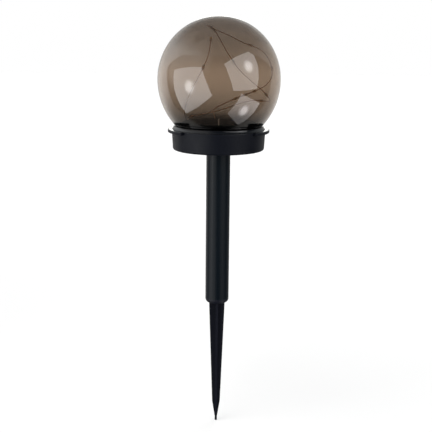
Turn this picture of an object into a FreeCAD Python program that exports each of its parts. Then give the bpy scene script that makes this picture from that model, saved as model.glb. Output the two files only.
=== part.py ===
import FreeCAD, Part
import math
import os
import re

import Sketcher

# Solar garden globe light on a ground stake, in millimetres.
# The origin lies on the axis at the ground line, where the blade leaves the spike's shoulder. +Z is up, the
# front is -Y, and the collar's two grip ears lie along +X and -X.

SIZES = [
    # Globe: an oval a little taller than round above its middle, and fuller below it.
    ("globe_radius", 60.0, "outside radius at the globe's middle"),
    ("globe_crown", 0.9, "how much farther the top is from the middle"),
    ("globe_lower_shift", 6.0, "how far past the axis the lower wall's arc is centred"),
    ("globe_wall", 1.8, "wall of the globe and of its neck"),
    ("neck_rise", 1.364, "straight neck above the flange's top, before the globe flares out"),
    ("neck_inset", 1.2, "neck inside the skirt's outside"),
    ("bond_gap", 0.3, "adhesive between the neck and the collar"),
    # Collar with its lip, flange, ears, skirt and bayonet lugs.
    ("lip_height", 3.1, "lip above the flange"),
    ("lip_edge", 0.344, "flat top of the lip"),
    ("lip_slope", 1.0, "how much wider the lip is at the flange"),
    ("lip_round", 0.9, "rounding of the lip's top edge"),
    ("flange_reach", 4.1, "flange past the skirt"),
    ("flange_thickness", 3.0, "flange and ears"),
    ("flange_bevel", 0.4, "bevel of the flange's and ears' top edge"),
    ("ear_reach", 3.7, "grip ears past the flange"),
    ("ear_angle", 88.0, "width of each ear, degrees"),
    ("ledge_thickness", 1.2, "ledge that carries the neck"),
    ("ledge_lap", 0.3, "how far the ledge shows inside the neck"),
    ("skirt_gap", 2.5, "room for the seal ring between the plateau and the skirt"),
    ("skirt_wall", 1.7, "wall of the skirt"),
    ("skirt_depth", 5.9, "skirt below the flange"),
    ("lug_reach", 1.5, "bayonet lug past the skirt"),
    ("lug_thickness", 2.2, "bayonet lug's height"),
    ("lug_angle", 20.0, "width of a lug, degrees"),
    ("lug_start", 90.0, "direction of the first lug, degrees"),
    ("tab_angle", 24.0, "width of a bayonet tab, degrees"),
    ("tab_thickness", 2.0, "bayonet tab's height"),
    ("bayonet_gap", 0.3, "play between lug and tab"),
    ("unlock_angle", 30.0, "turn that frees the globe, degrees"),
    ("stop_gap_angle", 0.4, "play between a lug and its stops, degrees"),
    ("stop_angle", 2.2, "width of a stop, degrees"),
    ("bayonet_count", 3.0, "lugs round the skirt"),
    # Base housing.
    ("housing_height", 17.3, "from the underside to the rim"),
    ("housing_inset", 0.3, "rim of the housing inside the flange's edge"),
    ("housing_draft", 0.9, "how much narrower the underside is"),
    ("housing_wall", 1.8, "side wall"),
    ("floor_thickness", 1.8, "floor"),
    ("housing_round", 1.8, "rounding of the lower outside edge"),
    ("socket_depth", 12.0, "how far the pole goes in"),
    ("socket_wall", 1.9, "wall of the pole socket"),
    ("socket_roof", 1.5, "closed top of the socket"),
    ("rib_thickness", 1.6, "ribs inside the housing"),
    ("rib_count", 6.0, "ribs that carry the top plate"),
    ("rib_lap", 0.2, "those ribs inside the plateau's side"),
    ("seat_gap", 0.7, "top plate's seat below the skirt"),
    # Pole and spike.
    ("pole_radius", 11.9, "outside radius of the pole and the shoulder"),
    ("pole_wall", 1.6, "wall of the pole"),
    ("pole_exposed", 152.8, "pole between the shoulder and the housing"),
    ("pole_bevel", 0.4, "bevel at the pole's ends"),
    ("running_clearance", 0.08, "radial play of the pole, spigot and button"),
    ("shoulder_height", 5.0, "spike's shoulder above the ground line"),
    ("shoulder_round", 4.0, "rounding under the shoulder"),
    ("spigot_length", 20.0, "spigot inside the pole"),
    ("spigot_wall", 1.8, "wall of the spigot"),
    ("blade_width", 16.0, "blade at the ground line"),
    ("blade_end_width", 8.0, "blade where its point starts"),
    ("blade_length", 109.0, "blade above its point"),
    ("point_length", 22.0, "point"),
    ("tip_width", 1.0, "blunt end of the point"),
    ("blade_thickness", 2.4, "each of the crossed blades"),
    # Top plate and its screws.
    ("plateau_margin", 2.645, "raised middle past the panel's corners"),
    ("plateau_rise", 8.7, "its top above the housing's rim"),
    ("plateau_round", 1.0, "rounding of its top edge"),
    ("plate_thickness", 1.8, "top plate"),
    ("plate_wall", 1.5, "side wall of the raised middle"),
    ("foot_gap", 0.3, "foot on the ribs, inside the skirt"),
    ("foot_thickness", 1.5, "foot"),
    ("seal_section", 2.0, "seal ring, square"),
    ("seal_gap", 0.1, "seal ring round the plateau"),
    ("screw_inset", 4.5, "plate screws inside the plateau's side"),
    ("screw_direction", 75.0, "direction of the first plate screw, degrees"),
    ("screw_count", 3.0, "plate screws"),
    ("screw_radius", 1.25, "shank of a plate screw"),
    ("screw_head_radius", 2.6, "its head"),
    ("screw_head_height", 1.8, "its head"),
    ("screw_length", 12.0, "its shank"),
    ("screw_play", 0.03, "round a shank in its pilot hole"),
    ("recess_depth", 2.6, "recess for a screw head"),
    ("recess_gap", 0.3, "round a screw head in its recess"),
    ("boss_radius", 4.0, "screw boss in the housing"),
    ("boss_height", 5.5, "its top above the underside"),
    ("post_radius", 3.2, "screw post under the top plate"),
    # Solar panel in the tray of the top plate.
    ("panel_side", 50.0, "solar panel, square"),
    ("tray_gap", 0.4, "round the panel in its tray"),
    ("tray_depth", 0.9, "tray in the top plate"),
    ("pad_thickness", 0.4, "adhesive pad"),
    ("pad_margin", 2.0, "pad inside the panel's edge"),
    ("panel_thickness", 1.2, "panel board"),
    ("cell_thickness", 0.25, "solar cells"),
    ("cell_margin", 1.0, "solar cells inside the panel's edge"),
    ("ribbon_width", 1.5, "ribbon between the cells"),
    ("ribbon_margin", 0.4, "ends of the ribbon inside the panel's edge"),
    ("ribbon_thickness", 0.35, "ribbon"),
    ("resin_margin", 0.25, "resin inside the panel's edge"),
    ("resin_thickness", 0.75, "clear resin over the cells"),
    ("resin_round", 0.4, "its top edge"),
    ("lead_slot_length", 8.0, "slot for the panel leads"),
    ("lead_slot_width", 3.0, "slot for the panel leads"),
    ("lead_slot_y", -12.0, "slot in front of the axis"),
    # Grommet of the fairy-light wire, behind the panel.
    ("grommet_x", -4.0, "wire exit"),
    ("grommet_offset", 4.0, "wire exit behind the panel"),
    ("grommet_radius", 1.7, "body of the grommet"),
    ("grommet_flange", 2.7, "flange of the grommet"),
    ("grommet_lip", 0.8, "thickness of each flange"),
    ("grommet_play", 0.02, "grommet in its hole"),
    # Control board, switch and button.
    ("board_x", -1.0, "middle of the control board"),
    ("board_gap", 1.6, "control board in front of the pole's socket"),
    ("board_width", 30.0, "control board"),
    ("board_depth", 12.0, "control board"),
    ("board_thickness", 1.6, "control board"),
    ("board_drop", 0.1, "its underside below the top plate's seat"),
    ("board_screw_x", 12.5, "board screws from the board's middle"),
    ("board_screw_y", 3.8, "board screws from the board's middle"),
    ("board_boss_radius", 2.4, "board bosses"),
    ("board_screw_radius", 0.85, "board screw shank"),
    ("board_screw_head", 1.7, "board screw head radius"),
    ("board_screw_length", 6.0, "shank below the board's top"),
    ("button_radius", 3.9, "switch button"),
    ("button_reach", 1.6, "button below the housing"),
    ("button_round", 0.6, "edge of the button"),
    ("button_flange", 5.2, "flange that keeps the button in"),
    ("button_flange_height", 1.0, "that flange"),
    ("button_stem_radius", 1.5, "stem of the button"),
    ("button_travel", 1.4, "travel of the button"),
    ("button_rest_gap", 0.2, "left under the switch when it is pressed"),
    ("stem_length", 1.8, "stem above the button's flange"),
    ("switch_side", 7.0, "switch body, square"),
    # Parts on the control board.
    ("chip_length", 4.9, "driver chip"),
    ("chip_width", 3.0, "driver chip without its legs"),
    ("chip_height", 1.5, "driver chip"),
    ("chip_leg_reach", 0.9, "legs past the body"),
    ("inductor_radius", 3.0, "drum inductor"),
    ("inductor_height", 5.0, "drum inductor"),
    ("inductor_flange", 0.8, "its flanges"),
    ("inductor_waist", 2.3, "its winding"),
    ("capacitor_radius", 2.5, "capacitor"),
    ("capacitor_height", 7.0, "capacitor"),
    # Rechargeable cell and its contacts.
    ("cell_radius", 5.25, "AAA rechargeable cell"),
    ("cell_body_length", 43.3, "its case"),
    ("nub_radius", 1.9, "its positive nub"),
    ("nub_length", 1.2, "its positive nub"),
    ("cell_gap", 0.47, "cell behind the pole's socket"),
    ("cradle_height", 0.8, "cell above the floor"),
    ("cradle_gap", 0.1, "round the cell in its cradle"),
    ("cradle_rise", 2.6, "cradle's sides above its lowest point"),
    ("bay_drop", 0.4, "bay's end walls and contacts below the top plate's seat"),
    ("bay_depth", 8.4, "bay's end walls, front to back"),
    ("contact_thickness", 0.4, "battery contacts"),
    ("contact_width", 6.0, "battery contacts"),
    ("spring_depth", 3.2, "room for the folded negative contact"),
    # Wires.
    ("lead_diameter", 0.8, "insulated leads inside the housing"),
    ("wire_diameter", 0.9, "fairy-light wire"),
    ("bead_radius", 1.6, "lamp on the fairy-light wire"),
    ("bead_length", 5.0, "lamp on the fairy-light wire"),
    ("bead_end_radius", 0.75, "ends of a lamp"),
    ("wire_wall_gap", 3.863, "widest corner of the wire's route inside the globe's wall"),
    ("wire_top_gap", 6.9, "highest corner of the wire's route below the globe's top inside"),
]

# Route of the fairy-light wire in space: up through the grommet, along the back of the globe to the right, up
# the right wall and over the top, down across the front, back round the lower right, along the edge of the top
# plate and up the front on the left. It is fitted between the grommet and the globe's wall.
FAIRY_ROUTE = [
    (-4.0, 29.0, 184.6), (-4.0, 29.0, 188.2), (-6.8, 31.6, 191.2), (-5.0, 37.0, 193.4),
    (1.0, 42.3, 196.6), (12.0, 46.2, 201.2), (22.6, 45.4, 205.9), (32.2, 41.2, 209.8),
    (41.5, 32.5, 214.3), (49.0, 19.5, 220.4), (53.2, 6.0, 230.0), (50.5, 7.0, 243.5),
    (45.5, 16.0, 251.5), (37.0, 25.0, 257.0), (25.5, 34.0, 260.0), (11.0, 33.0, 267.5),
    (-3.0, 24.5, 273.5), (-12.5, 11.0, 277.5), (-13.0, -5.0, 278.0), (-7.0, -18.5, 276.0),
    (-2.0, -32.0, 269.5), (3.5, -42.0, 259.5), (9.0, -47.6, 250.8), (17.0, -50.2, 239.2),
    (29.0, -45.8, 228.3), (40.5, -36.0, 218.8), (47.5, -22.0, 210.5), (50.5, -3.0, 205.5),
    (48.0, 14.0, 203.6), (38.0, 32.0, 203.6), (22.5, 42.5, 199.5), (6.0, 43.2, 193.0),
    (-11.0, 38.5, 189.0), (-25.0, 26.5, 187.5), (-30.0, 9.5, 187.6), (-29.0, -9.0, 188.0),
    (-31.3, -24.0, 190.8), (-32.6, -35.0, 199.0), (-29.5, -43.2, 209.5), (-24.5, -48.5, 221.5),
    (-18.0, -50.8, 233.2), (-11.0, -49.0, 247.5), (-8.6, -43.5, 257.6), (-8.0, -36.5, 265.0),
]

# Lamps sit in the middle of these runs of the route, counted from 0.
LAMP_RUNS = "5 6 7 10 13 16 19 22 25 28 33 37 40".split()

# Inner leads, with heights above the housing's underside. Their ends are moved to the pieces that they join.
STRING_TAIL_ROUTE = [
    (-4.0, 29.0, 23.4), (-4.0, 29.0, 18.6), (-3.6, 21.5, 15.9), (-3.0, 9.0, 16.6), (-2.2, -4.5, 17.0),
    (-1.5, -12.0, 18.6), (-1.5, -18.3, 16.9), (-1.5, -18.3, 12.2),
]
PANEL_LEAD_ROUTES = [
    [(-2.4, -12.0, 25.5), (-2.4, -12.0, 20.5), (-6.8, -18.3, 16.8), (-6.8, -18.3, 12.2)],
    [(2.4, -12.0, 25.5), (2.4, -12.0, 20.5), (3.4, -18.3, 16.8), (3.4, -18.3, 12.2)],
]
BATTERY_LEAD_ROUTES = [
    [(22.45, 19.6, 10.3), (22.45, 19.6, 17.0), (21.0, 11.0, 20.0), (17.5, -3.0, 19.8),
     (14.5, -12.0, 19.5), (13.0, -18.3, 16.8), (13.0, -18.3, 12.2)],
    [(-25.25, 19.6, 10.3), (-25.25, 19.6, 17.0), (-23.8, 11.0, 20.0), (-18.5, -3.0, 19.8),
     (-13.0, -12.0, 19.5), (-9.9, -18.3, 16.8), (-9.9, -18.3, 12.2)],
]

document = FreeCAD.newDocument("GlobeLight")
sheet = document.addObject("Spreadsheet::Sheet", "dims")


# ---------------------------------------------------------------- sizes

def fill_sheet():
    """Write every size into the sheet, with its name and what it measures."""
    for row, (alias, size, note) in enumerate(SIZES, start=1):
        sheet.set("A%d" % row, note)
        sheet.set("B%d" % row, str(size))
        sheet.setAlias("B%d" % row, alias)
    document.recompute()


def link(formula):
    """Give each size in a formula its place in the sheet."""
    return NAMES.sub(lambda found: "dims." + found.group(0), formula)


def size(formula):
    """The number that a formula of sizes comes to."""
    return float(sheet.evalExpression(formula))


def bind(item, prop, formula):
    """Tie one property of an object to a formula of sizes."""
    item.setExpression(prop, link(formula))


fill_sheet()
NAMES = re.compile(r"\b(" + "|".join(alias for alias, _, _ in SIZES) + r")\b")

# Radii that several pieces share, from the pole and from the solar panel outwards.
POLE_BORE = "(pole_radius - pole_wall)"
SPIGOT_RADIUS = "(%s - running_clearance)" % POLE_BORE
SOCKET_BORE = "(pole_radius + running_clearance)"
SOCKET_OUTSIDE = "(%s + socket_wall)" % SOCKET_BORE
PLATEAU_RADIUS = "(panel_side / sqrt(2) + plateau_margin)"
SKIRT_BORE = "(%s + skirt_gap)" % PLATEAU_RADIUS
SKIRT_RADIUS = "(%s + skirt_wall)" % SKIRT_BORE
LUG_RADIUS = "(%s + lug_reach)" % SKIRT_RADIUS
FLANGE_RADIUS = "(%s + flange_reach)" % SKIRT_RADIUS
EAR_RADIUS = "(%s + ear_reach)" % FLANGE_RADIUS
HOUSING_RADIUS = "(%s - housing_inset)" % FLANGE_RADIUS
HOUSING_FOOT = "(%s - housing_draft)" % HOUSING_RADIUS
SCREW_CIRCLE = "(%s - screw_inset)" % PLATEAU_RADIUS
NECK_RADIUS = "(%s - neck_inset)" % SKIRT_RADIUS
NECK_BORE = "(%s - globe_wall)" % NECK_RADIUS
COLLAR_BORE = "(%s + bond_gap)" % NECK_RADIUS
LOWER_ARC = "(globe_radius + globe_lower_shift)"
GLOBE_RISE = "(globe_radius + globe_crown)"

# Heights from the ground line.
UNDERSIDE = "(shoulder_height + pole_exposed)"
RIM = "(%s + housing_height)" % UNDERSIDE
FLANGE_TOP = "(%s + flange_thickness)" % RIM
GLOBE_LIFT = "(sqrt(%s ^ 2 - (%s + globe_lower_shift) ^ 2) + neck_rise)" % (LOWER_ARC, NECK_RADIUS)
GLOBE_MIDDLE = "(%s + %s)" % (FLANGE_TOP, GLOBE_LIFT)

# Heights above the housing's underside.
LUG_BOTTOM = "(housing_height - skirt_depth)"
TAB_BOTTOM = "(%s + lug_thickness + bayonet_gap)" % LUG_BOTTOM
SEAT_HEIGHT = "(%s - seat_gap)" % LUG_BOTTOM
BAY_TOP = "(%s - bay_drop)" % SEAT_HEIGHT
PLATEAU_HEIGHT = "(housing_height + plateau_rise)"
TRAY_FLOOR = "(%s - tray_depth)" % PLATEAU_HEIGHT
PANEL_BOTTOM = "(%s + pad_thickness)" % TRAY_FLOOR
PANEL_TOP = "(%s + panel_thickness)" % PANEL_BOTTOM
BOARD_HEIGHT = "(%s - board_drop)" % SEAT_HEIGHT
BOARD_TOP = "(%s + board_thickness)" % BOARD_HEIGHT
FLANGE_REST = "floor_thickness"
SWITCH_BOTTOM = ("(floor_thickness + button_flange_height + stem_length + button_travel"
                 " + button_rest_gap)")
CELL_AXIS = "(floor_thickness + cradle_height + cell_radius)"

# Places in front of the axis, behind it and along the battery cell.
BOARD_Y = "(-%s - board_gap - board_depth / 2)" % SOCKET_OUTSIDE
CELL_Y = "(%s + cell_gap + cell_radius)" % SOCKET_OUTSIDE
GROMMET_Y = "(panel_side / 2 + grommet_offset)"
CELL_FRONT = "((cell_body_length + nub_length) / 2)"
BAY_PLUS = "(%s + contact_thickness)" % CELL_FRONT
BAY_MINUS = "(-%s - spring_depth)" % CELL_FRONT


# ---------------------------------------------------------------- sketches and features

def new_body(label, station="0", x="0", y="0"):
    """A body with its own zero at a given height and place."""
    body = document.addObject("PartDesign::Body", label)
    body.Label = label
    for axis, formula in (("x", x), ("y", y), ("z", station)):
        if formula != "0":
            bind(body, "Placement.Base." + axis, formula)
    return body


def new_sketch(body, plane="XZ_Plane", height="0"):
    """A sketch on one of the body's own planes, at a height above it."""
    sketch = body.newObject("Sketcher::SketchObject", body.Label + "_sketch")
    planes = {item.Role: item for item in body.Origin.OriginFeatures}
    sketch.AttachmentSupport = [(planes[plane], "")]
    sketch.MapMode = "FlatFace"
    if height != "0":
        bind(sketch, "AttachmentOffset.Base.z", height)
    return sketch


def hold(sketch, edge, end, x, y):
    """Fix one point of a sketch at two formulas of sizes."""
    for kind, axis, formula in (("DistanceX", -2, x), ("DistanceY", -1, y)):
        if abs(size(formula)) < 1e-9:
            sketch.addConstraint(Sketcher.Constraint("PointOnObject", edge, end, axis))
            continue
        index = sketch.addConstraint(Sketcher.Constraint(kind, -1, 1, edge, end, size(formula)))
        sketch.setExpression("Constraints[%d]" % index, link(formula))


def outline(sketch, points, arcs=None):
    """A closed outline through points given as formulas.

    arcs maps the number of an edge to its radius: positive bends round a centre on its left, negative on its
    right.
    """
    arcs = arcs or {}
    spots = [FreeCAD.Vector(size(x), size(y), 0) for x, y in points]
    ends = []
    for number, start in enumerate(spots):
        finish = spots[(number + 1) % len(spots)]
        if number not in arcs:
            edge = sketch.addGeometry(Part.LineSegment(start, finish), False)
            ends.append((edge, 1, 2))
            continue
        left = not arcs[number].startswith("-")
        radius = size(arcs[number].lstrip("-"))
        along = finish - start
        across = FreeCAD.Vector(-along.y, along.x, 0).normalize()
        depth = math.sqrt(max(radius ** 2 - (along.Length / 2) ** 2, 0.0))
        centre = (start + finish) * 0.5 + across * (depth if left else -depth)
        first, last = (start, finish) if left else (finish, start)
        circle = Part.Circle(centre, FreeCAD.Vector(0, 0, 1), radius)
        angles = [math.atan2(spot.y - centre.y, spot.x - centre.x) for spot in (first, last)]
        if angles[1] < angles[0]:
            angles[1] += 2 * math.pi
        edge = sketch.addGeometry(Part.ArcOfCircle(circle, angles[0], angles[1]), False)
        ends.append((edge, 1, 2) if left else (edge, 2, 1))
    for number, (edge, first, last) in enumerate(ends):
        following = ends[(number + 1) % len(ends)]
        sketch.addConstraint(Sketcher.Constraint("Coincident", edge, last, following[0], following[1]))
        hold(sketch, edge, first, *points[number])
        if number in arcs:
            formula = arcs[number].lstrip("-")
            index = sketch.addConstraint(Sketcher.Constraint("Radius", edge, size(formula)))
            sketch.setExpression("Constraints[%d]" % index, link(formula))
    return sketch


def disc(sketch, x, y, radius):
    """A circle given by formulas."""
    circle = Part.Circle(FreeCAD.Vector(size(x), size(y), 0), FreeCAD.Vector(0, 0, 1), size(radius))
    edge = sketch.addGeometry(circle, False)
    hold(sketch, edge, 3, x, y)
    index = sketch.addConstraint(Sketcher.Constraint("Radius", edge, size(radius)))
    sketch.setExpression("Constraints[%d]" % index, link(radius))
    return sketch


def rectangle(sketch, left, bottom, right, top):
    """A rectangle given by formulas of its sides."""
    return outline(sketch, [(left, bottom), (right, bottom), (right, top), (left, top)])


def ring_piece(sketch, inner, outer, start, end):
    """A piece of a flat ring between two directions, in degrees."""
    corners = [(inner, start), (outer, start), (outer, end), (inner, end)]
    points = [("(%s) * cos(%s)" % pair, "(%s) * sin(%s)" % pair) for pair in corners]
    return outline(sketch, points, {1: outer, 3: "-" + inner})


def revolve(body, sketch, axis="V_Axis"):
    """Turn a sketch all the way round."""
    feature = body.newObject("PartDesign::Revolution", body.Label + "_turned")
    feature.Profile = sketch
    feature.ReferenceAxis = (sketch, [axis])
    feature.Angle = 360
    document.recompute()
    return feature


def pad(body, sketch, length, both_ways=False):
    """Raise a sketch by a length, or half of it to each side."""
    feature = body.newObject("PartDesign::Pad", body.Label + "_raised")
    feature.Profile = sketch
    bind(feature, "Length", length)
    feature.Midplane = both_ways
    document.recompute()
    return feature


def pocket(body, sketch, depth, upwards=True):
    """Cut a sketch into the body and make sure that it took something away."""
    before = body.Shape.Volume
    feature = body.newObject("PartDesign::Pocket", body.Label + "_cut")
    feature.Profile = sketch
    bind(feature, "Length", depth)
    feature.Reversed = upwards
    document.recompute()
    if not body.Shape.Volume < before - 1e-6:
        raise ValueError("a cut in %s takes nothing away" % body.Label)
    return feature


def repeat(body, features, count, sweep="360"):
    """Repeat features round the vertical axis."""
    pattern = body.newObject("PartDesign::PolarPattern", body.Label + "_repeat")
    pattern.Originals = features
    axes = {item.Role: item for item in body.Origin.OriginFeatures}
    pattern.Axis = (axes["Z_Axis"], [""])
    pattern.Angle = float(sweep)
    bind(pattern, "Occurrences", count)
    body.Tip = pattern
    document.recompute()
    return pattern


def soften(body, kind, reach, wanted):
    """Round (Fillet) or bevel (Chamfer) the edges that a test picks."""
    base = body.Tip
    names = ["Edge%d" % number for number, edge in enumerate(base.Shape.Edges, start=1) if wanted(edge)]
    if not names:
        raise ValueError("no edge to soften on %s" % body.Label)
    feature = body.newObject("PartDesign::" + kind, body.Label + "_soft")
    feature.Base = (base, names)
    bind(feature, "Radius" if kind == "Fillet" else "Size", reach)
    document.recompute()
    return feature


def circular(edge, radius, height):
    """Whether an edge is a level arc of a given radius and height round the body's axis."""
    if not isinstance(edge.Curve, Part.Circle) or abs(edge.Curve.Radius - radius) > 1e-4:
        return False
    box = edge.BoundBox
    return abs(box.ZMin - height) < 1e-4 and abs(box.ZMax - height) < 1e-4


def group(label, members, station="0"):
    """One node that holds several separate solids."""
    item = document.addObject("Part::Compound", label)
    item.Label = label
    item.Links = members
    if station != "0":
        bind(item, "Placement.Base.z", station)
    document.recompute()
    return item


def block(name, left, front, bottom, width, depth, height):
    """A box whose corner and sides are formulas."""
    item = document.addObject("Part::Box", name)
    for prop, formula in (("Length", width), ("Width", depth), ("Height", height)):
        bind(item, prop, formula)
    for axis, formula in (("x", left), ("y", front), ("z", bottom)):
        bind(item, "Placement.Base." + axis, formula)
    return item


# ---------------------------------------------------------------- stake

def make_ground_spike():
    """Shoulder and hollow spigot in one turned form, with two crossed tapering blades below."""
    body = new_body("ground_spike")
    top = "(shoulder_height + spigot_length)"
    bore = "(%s - spigot_wall)" % SPIGOT_RADIUS
    revolve(body, outline(new_sketch(body), [
        ("0", "0"),
        ("pole_radius - shoulder_round", "0"),
        ("pole_radius", "shoulder_round"),
        ("pole_radius", "shoulder_height"),
        (SPIGOT_RADIUS, "shoulder_height"),
        (SPIGOT_RADIUS, top + " - spigot_wall / 2"),
        (SPIGOT_RADIUS + " - spigot_wall / 2", top),
        (bore, top),
        (bore, "shoulder_height - spigot_wall / 2"),
        ("0", "shoulder_height - spigot_wall / 2"),
    ], {1: "shoulder_round"}))
    blade = pad(body, outline(new_sketch(body), [
        ("-blade_width / 2", "shoulder_height / 4"),
        ("-blade_width / 2", "0"),
        ("-blade_end_width / 2", "-blade_length"),
        ("-tip_width / 2", "-blade_length - point_length"),
        ("tip_width / 2", "-blade_length - point_length"),
        ("blade_end_width / 2", "-blade_length"),
        ("blade_width / 2", "0"),
        ("blade_width / 2", "shoulder_height / 4"),
    ]), "blade_thickness", both_ways=True)
    repeat(body, [blade], "2", sweep="90")
    return body


def make_pole_tube():
    """Straight pole, bevelled inside and out at both ends."""
    body = new_body("pole_tube", "shoulder_height")
    length = "(pole_exposed + socket_depth)"
    revolve(body, outline(new_sketch(body), [
        (POLE_BORE + " + pole_bevel", "0"),
        ("pole_radius", "0"),
        ("pole_radius", length + " - pole_bevel"),
        ("pole_radius - pole_bevel", length),
        (POLE_BORE, length),
        (POLE_BORE, "pole_bevel"),
    ]))
    return body


# ---------------------------------------------------------------- base housing

def add_pole_socket_and_shell(body):
    """Drafted cup with the pole's socket rising from its floor."""
    roof = "(socket_depth + socket_roof)"
    revolve(body, outline(new_sketch(body), [
        (SOCKET_BORE, "0"),
        (HOUSING_FOOT + " - housing_round", "0"),
        (HOUSING_FOOT, "housing_round"),
        (HOUSING_RADIUS, "housing_height"),
        (HOUSING_RADIUS + " - housing_wall", "housing_height"),
        (HOUSING_FOOT + " - housing_wall", "floor_thickness"),
        (SOCKET_OUTSIDE, "floor_thickness"),
        (SOCKET_OUTSIDE, roof),
        ("0", roof),
        ("0", "socket_depth"),
        (SOCKET_BORE, "socket_depth"),
    ], {1: "housing_round"}))


def add_plate_supports(body):
    """Ribs against the wall that carry the top plate's foot, and the bosses of its screws."""
    rib = pad(body, rectangle(
        new_sketch(body, "XY_Plane", "floor_thickness / 2"),
        PLATEAU_RADIUS + " - rib_lap", "-rib_thickness / 2",
        HOUSING_FOOT + " - housing_wall / 2", "rib_thickness / 2",
    ), SEAT_HEIGHT + " - floor_thickness / 2")
    repeat(body, [rib], "rib_count")
    spot = (SCREW_CIRCLE + " * cos(screw_direction)", SCREW_CIRCLE + " * sin(screw_direction)")
    boss = pad(body, disc(new_sketch(body, "XY_Plane", "floor_thickness / 2"), *spot, "boss_radius"),
               "boss_height - floor_thickness / 2")
    repeat(body, [boss], "screw_count")
    recess = pocket(body, disc(new_sketch(body, "XY_Plane"), *spot, "screw_head_radius + recess_gap"),
                    "recess_depth")
    repeat(body, [recess], "screw_count")
    hole = pocket(body, disc(new_sketch(body, "XY_Plane"), *spot, "screw_radius + 2 * screw_play"),
                  "boss_height")
    repeat(body, [hole], "screw_count")


def add_bayonet(body):
    """Tabs over the collar's lugs, each with a stop where the globe locks and another where it comes free."""
    inner = "(%s + bayonet_gap)" % SKIRT_RADIUS
    outer = "(%s - housing_wall / 2)" % HOUSING_RADIUS
    half_lug = "lug_angle / 2"
    locked = "(lug_start - %s - stop_gap_angle)" % half_lug
    freed = "(lug_start + %s + unlock_angle + stop_gap_angle)" % half_lug
    shapes = [
        ("lug_start - tab_angle / 2", "lug_start + tab_angle / 2", TAB_BOTTOM, "tab_thickness"),
        (locked + " - stop_angle", locked, LUG_BOTTOM, "lug_thickness + bayonet_gap + tab_thickness"),
        (freed, freed + " + stop_angle", LUG_BOTTOM, "lug_thickness + bayonet_gap + tab_thickness"),
    ]
    raised = []
    for start, end, bottom, height in shapes:
        piece = ring_piece(new_sketch(body, "XY_Plane", bottom), inner, outer, start, end)
        raised.append(pad(body, piece, height))
    repeat(body, raised, "bayonet_count")


def add_battery_bay(body):
    """Three cradles with round saddles, and the end walls that hold the contacts."""
    low = "floor_thickness / 2"
    cradle_top = "(floor_thickness + cradle_height + cradle_rise)"
    saddle = "(cell_radius + cradle_gap)"
    half_chord = "sqrt(%s ^ 2 - (%s - %s) ^ 2)" % (saddle, CELL_AXIS, cradle_top)
    for place in ("-cell_body_length / 3", "0", "cell_body_length / 3"):
        sketch = new_sketch(body, "YZ_Plane", place)
        outline(sketch, [
            (CELL_Y + " - " + saddle, low),
            (CELL_Y + " + " + saddle, low),
            (CELL_Y + " + " + saddle, cradle_top),
            (CELL_Y + " + " + half_chord, cradle_top),
            (CELL_Y + " - " + half_chord, cradle_top),
            (CELL_Y + " - " + saddle, cradle_top),
        ], {3: "-" + saddle})
        pad(body, sketch, "rib_thickness", both_ways=True)
    ends = [(BAY_PLUS, BAY_PLUS + " + rib_thickness"), (BAY_MINUS + " - rib_thickness", BAY_MINUS)]
    for left, right in ends:
        pad(body, rectangle(
            new_sketch(body, "XY_Plane", low),
            left, CELL_Y + " - bay_depth / 2", right, CELL_Y + " + bay_depth / 2",
        ), BAY_TOP + " - " + low)


def add_board_and_button_features(body):
    """Bosses under the control board with their pilot holes, and the round hole of the button."""
    for side in ("-", "+"):
        x = "board_x %s board_screw_x" % side
        y = BOARD_Y + " %s board_screw_y" % ("+" if side == "-" else "-")
        pad(body, disc(new_sketch(body, "XY_Plane", "floor_thickness / 2"), x, y, "board_boss_radius"),
            BOARD_HEIGHT + " - floor_thickness / 2")
        pilot_bottom = "(%s - board_screw_length - 1)" % BOARD_TOP
        pilot = disc(new_sketch(body, "XY_Plane", pilot_bottom), x, y, "board_screw_radius + screw_play")
        pocket(body, pilot, "board_screw_length")
    pocket(body, disc(new_sketch(body, "XY_Plane"), "board_x", BOARD_Y, "button_radius + running_clearance"),
           "floor_thickness")


def make_base_housing():
    """Moulded cup that carries everything else in the head."""
    body = new_body("base_housing", UNDERSIDE)
    add_pole_socket_and_shell(body)
    add_plate_supports(body)
    add_bayonet(body)
    add_battery_bay(body)
    add_board_and_button_features(body)
    return body


# ---------------------------------------------------------------- top plate

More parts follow.
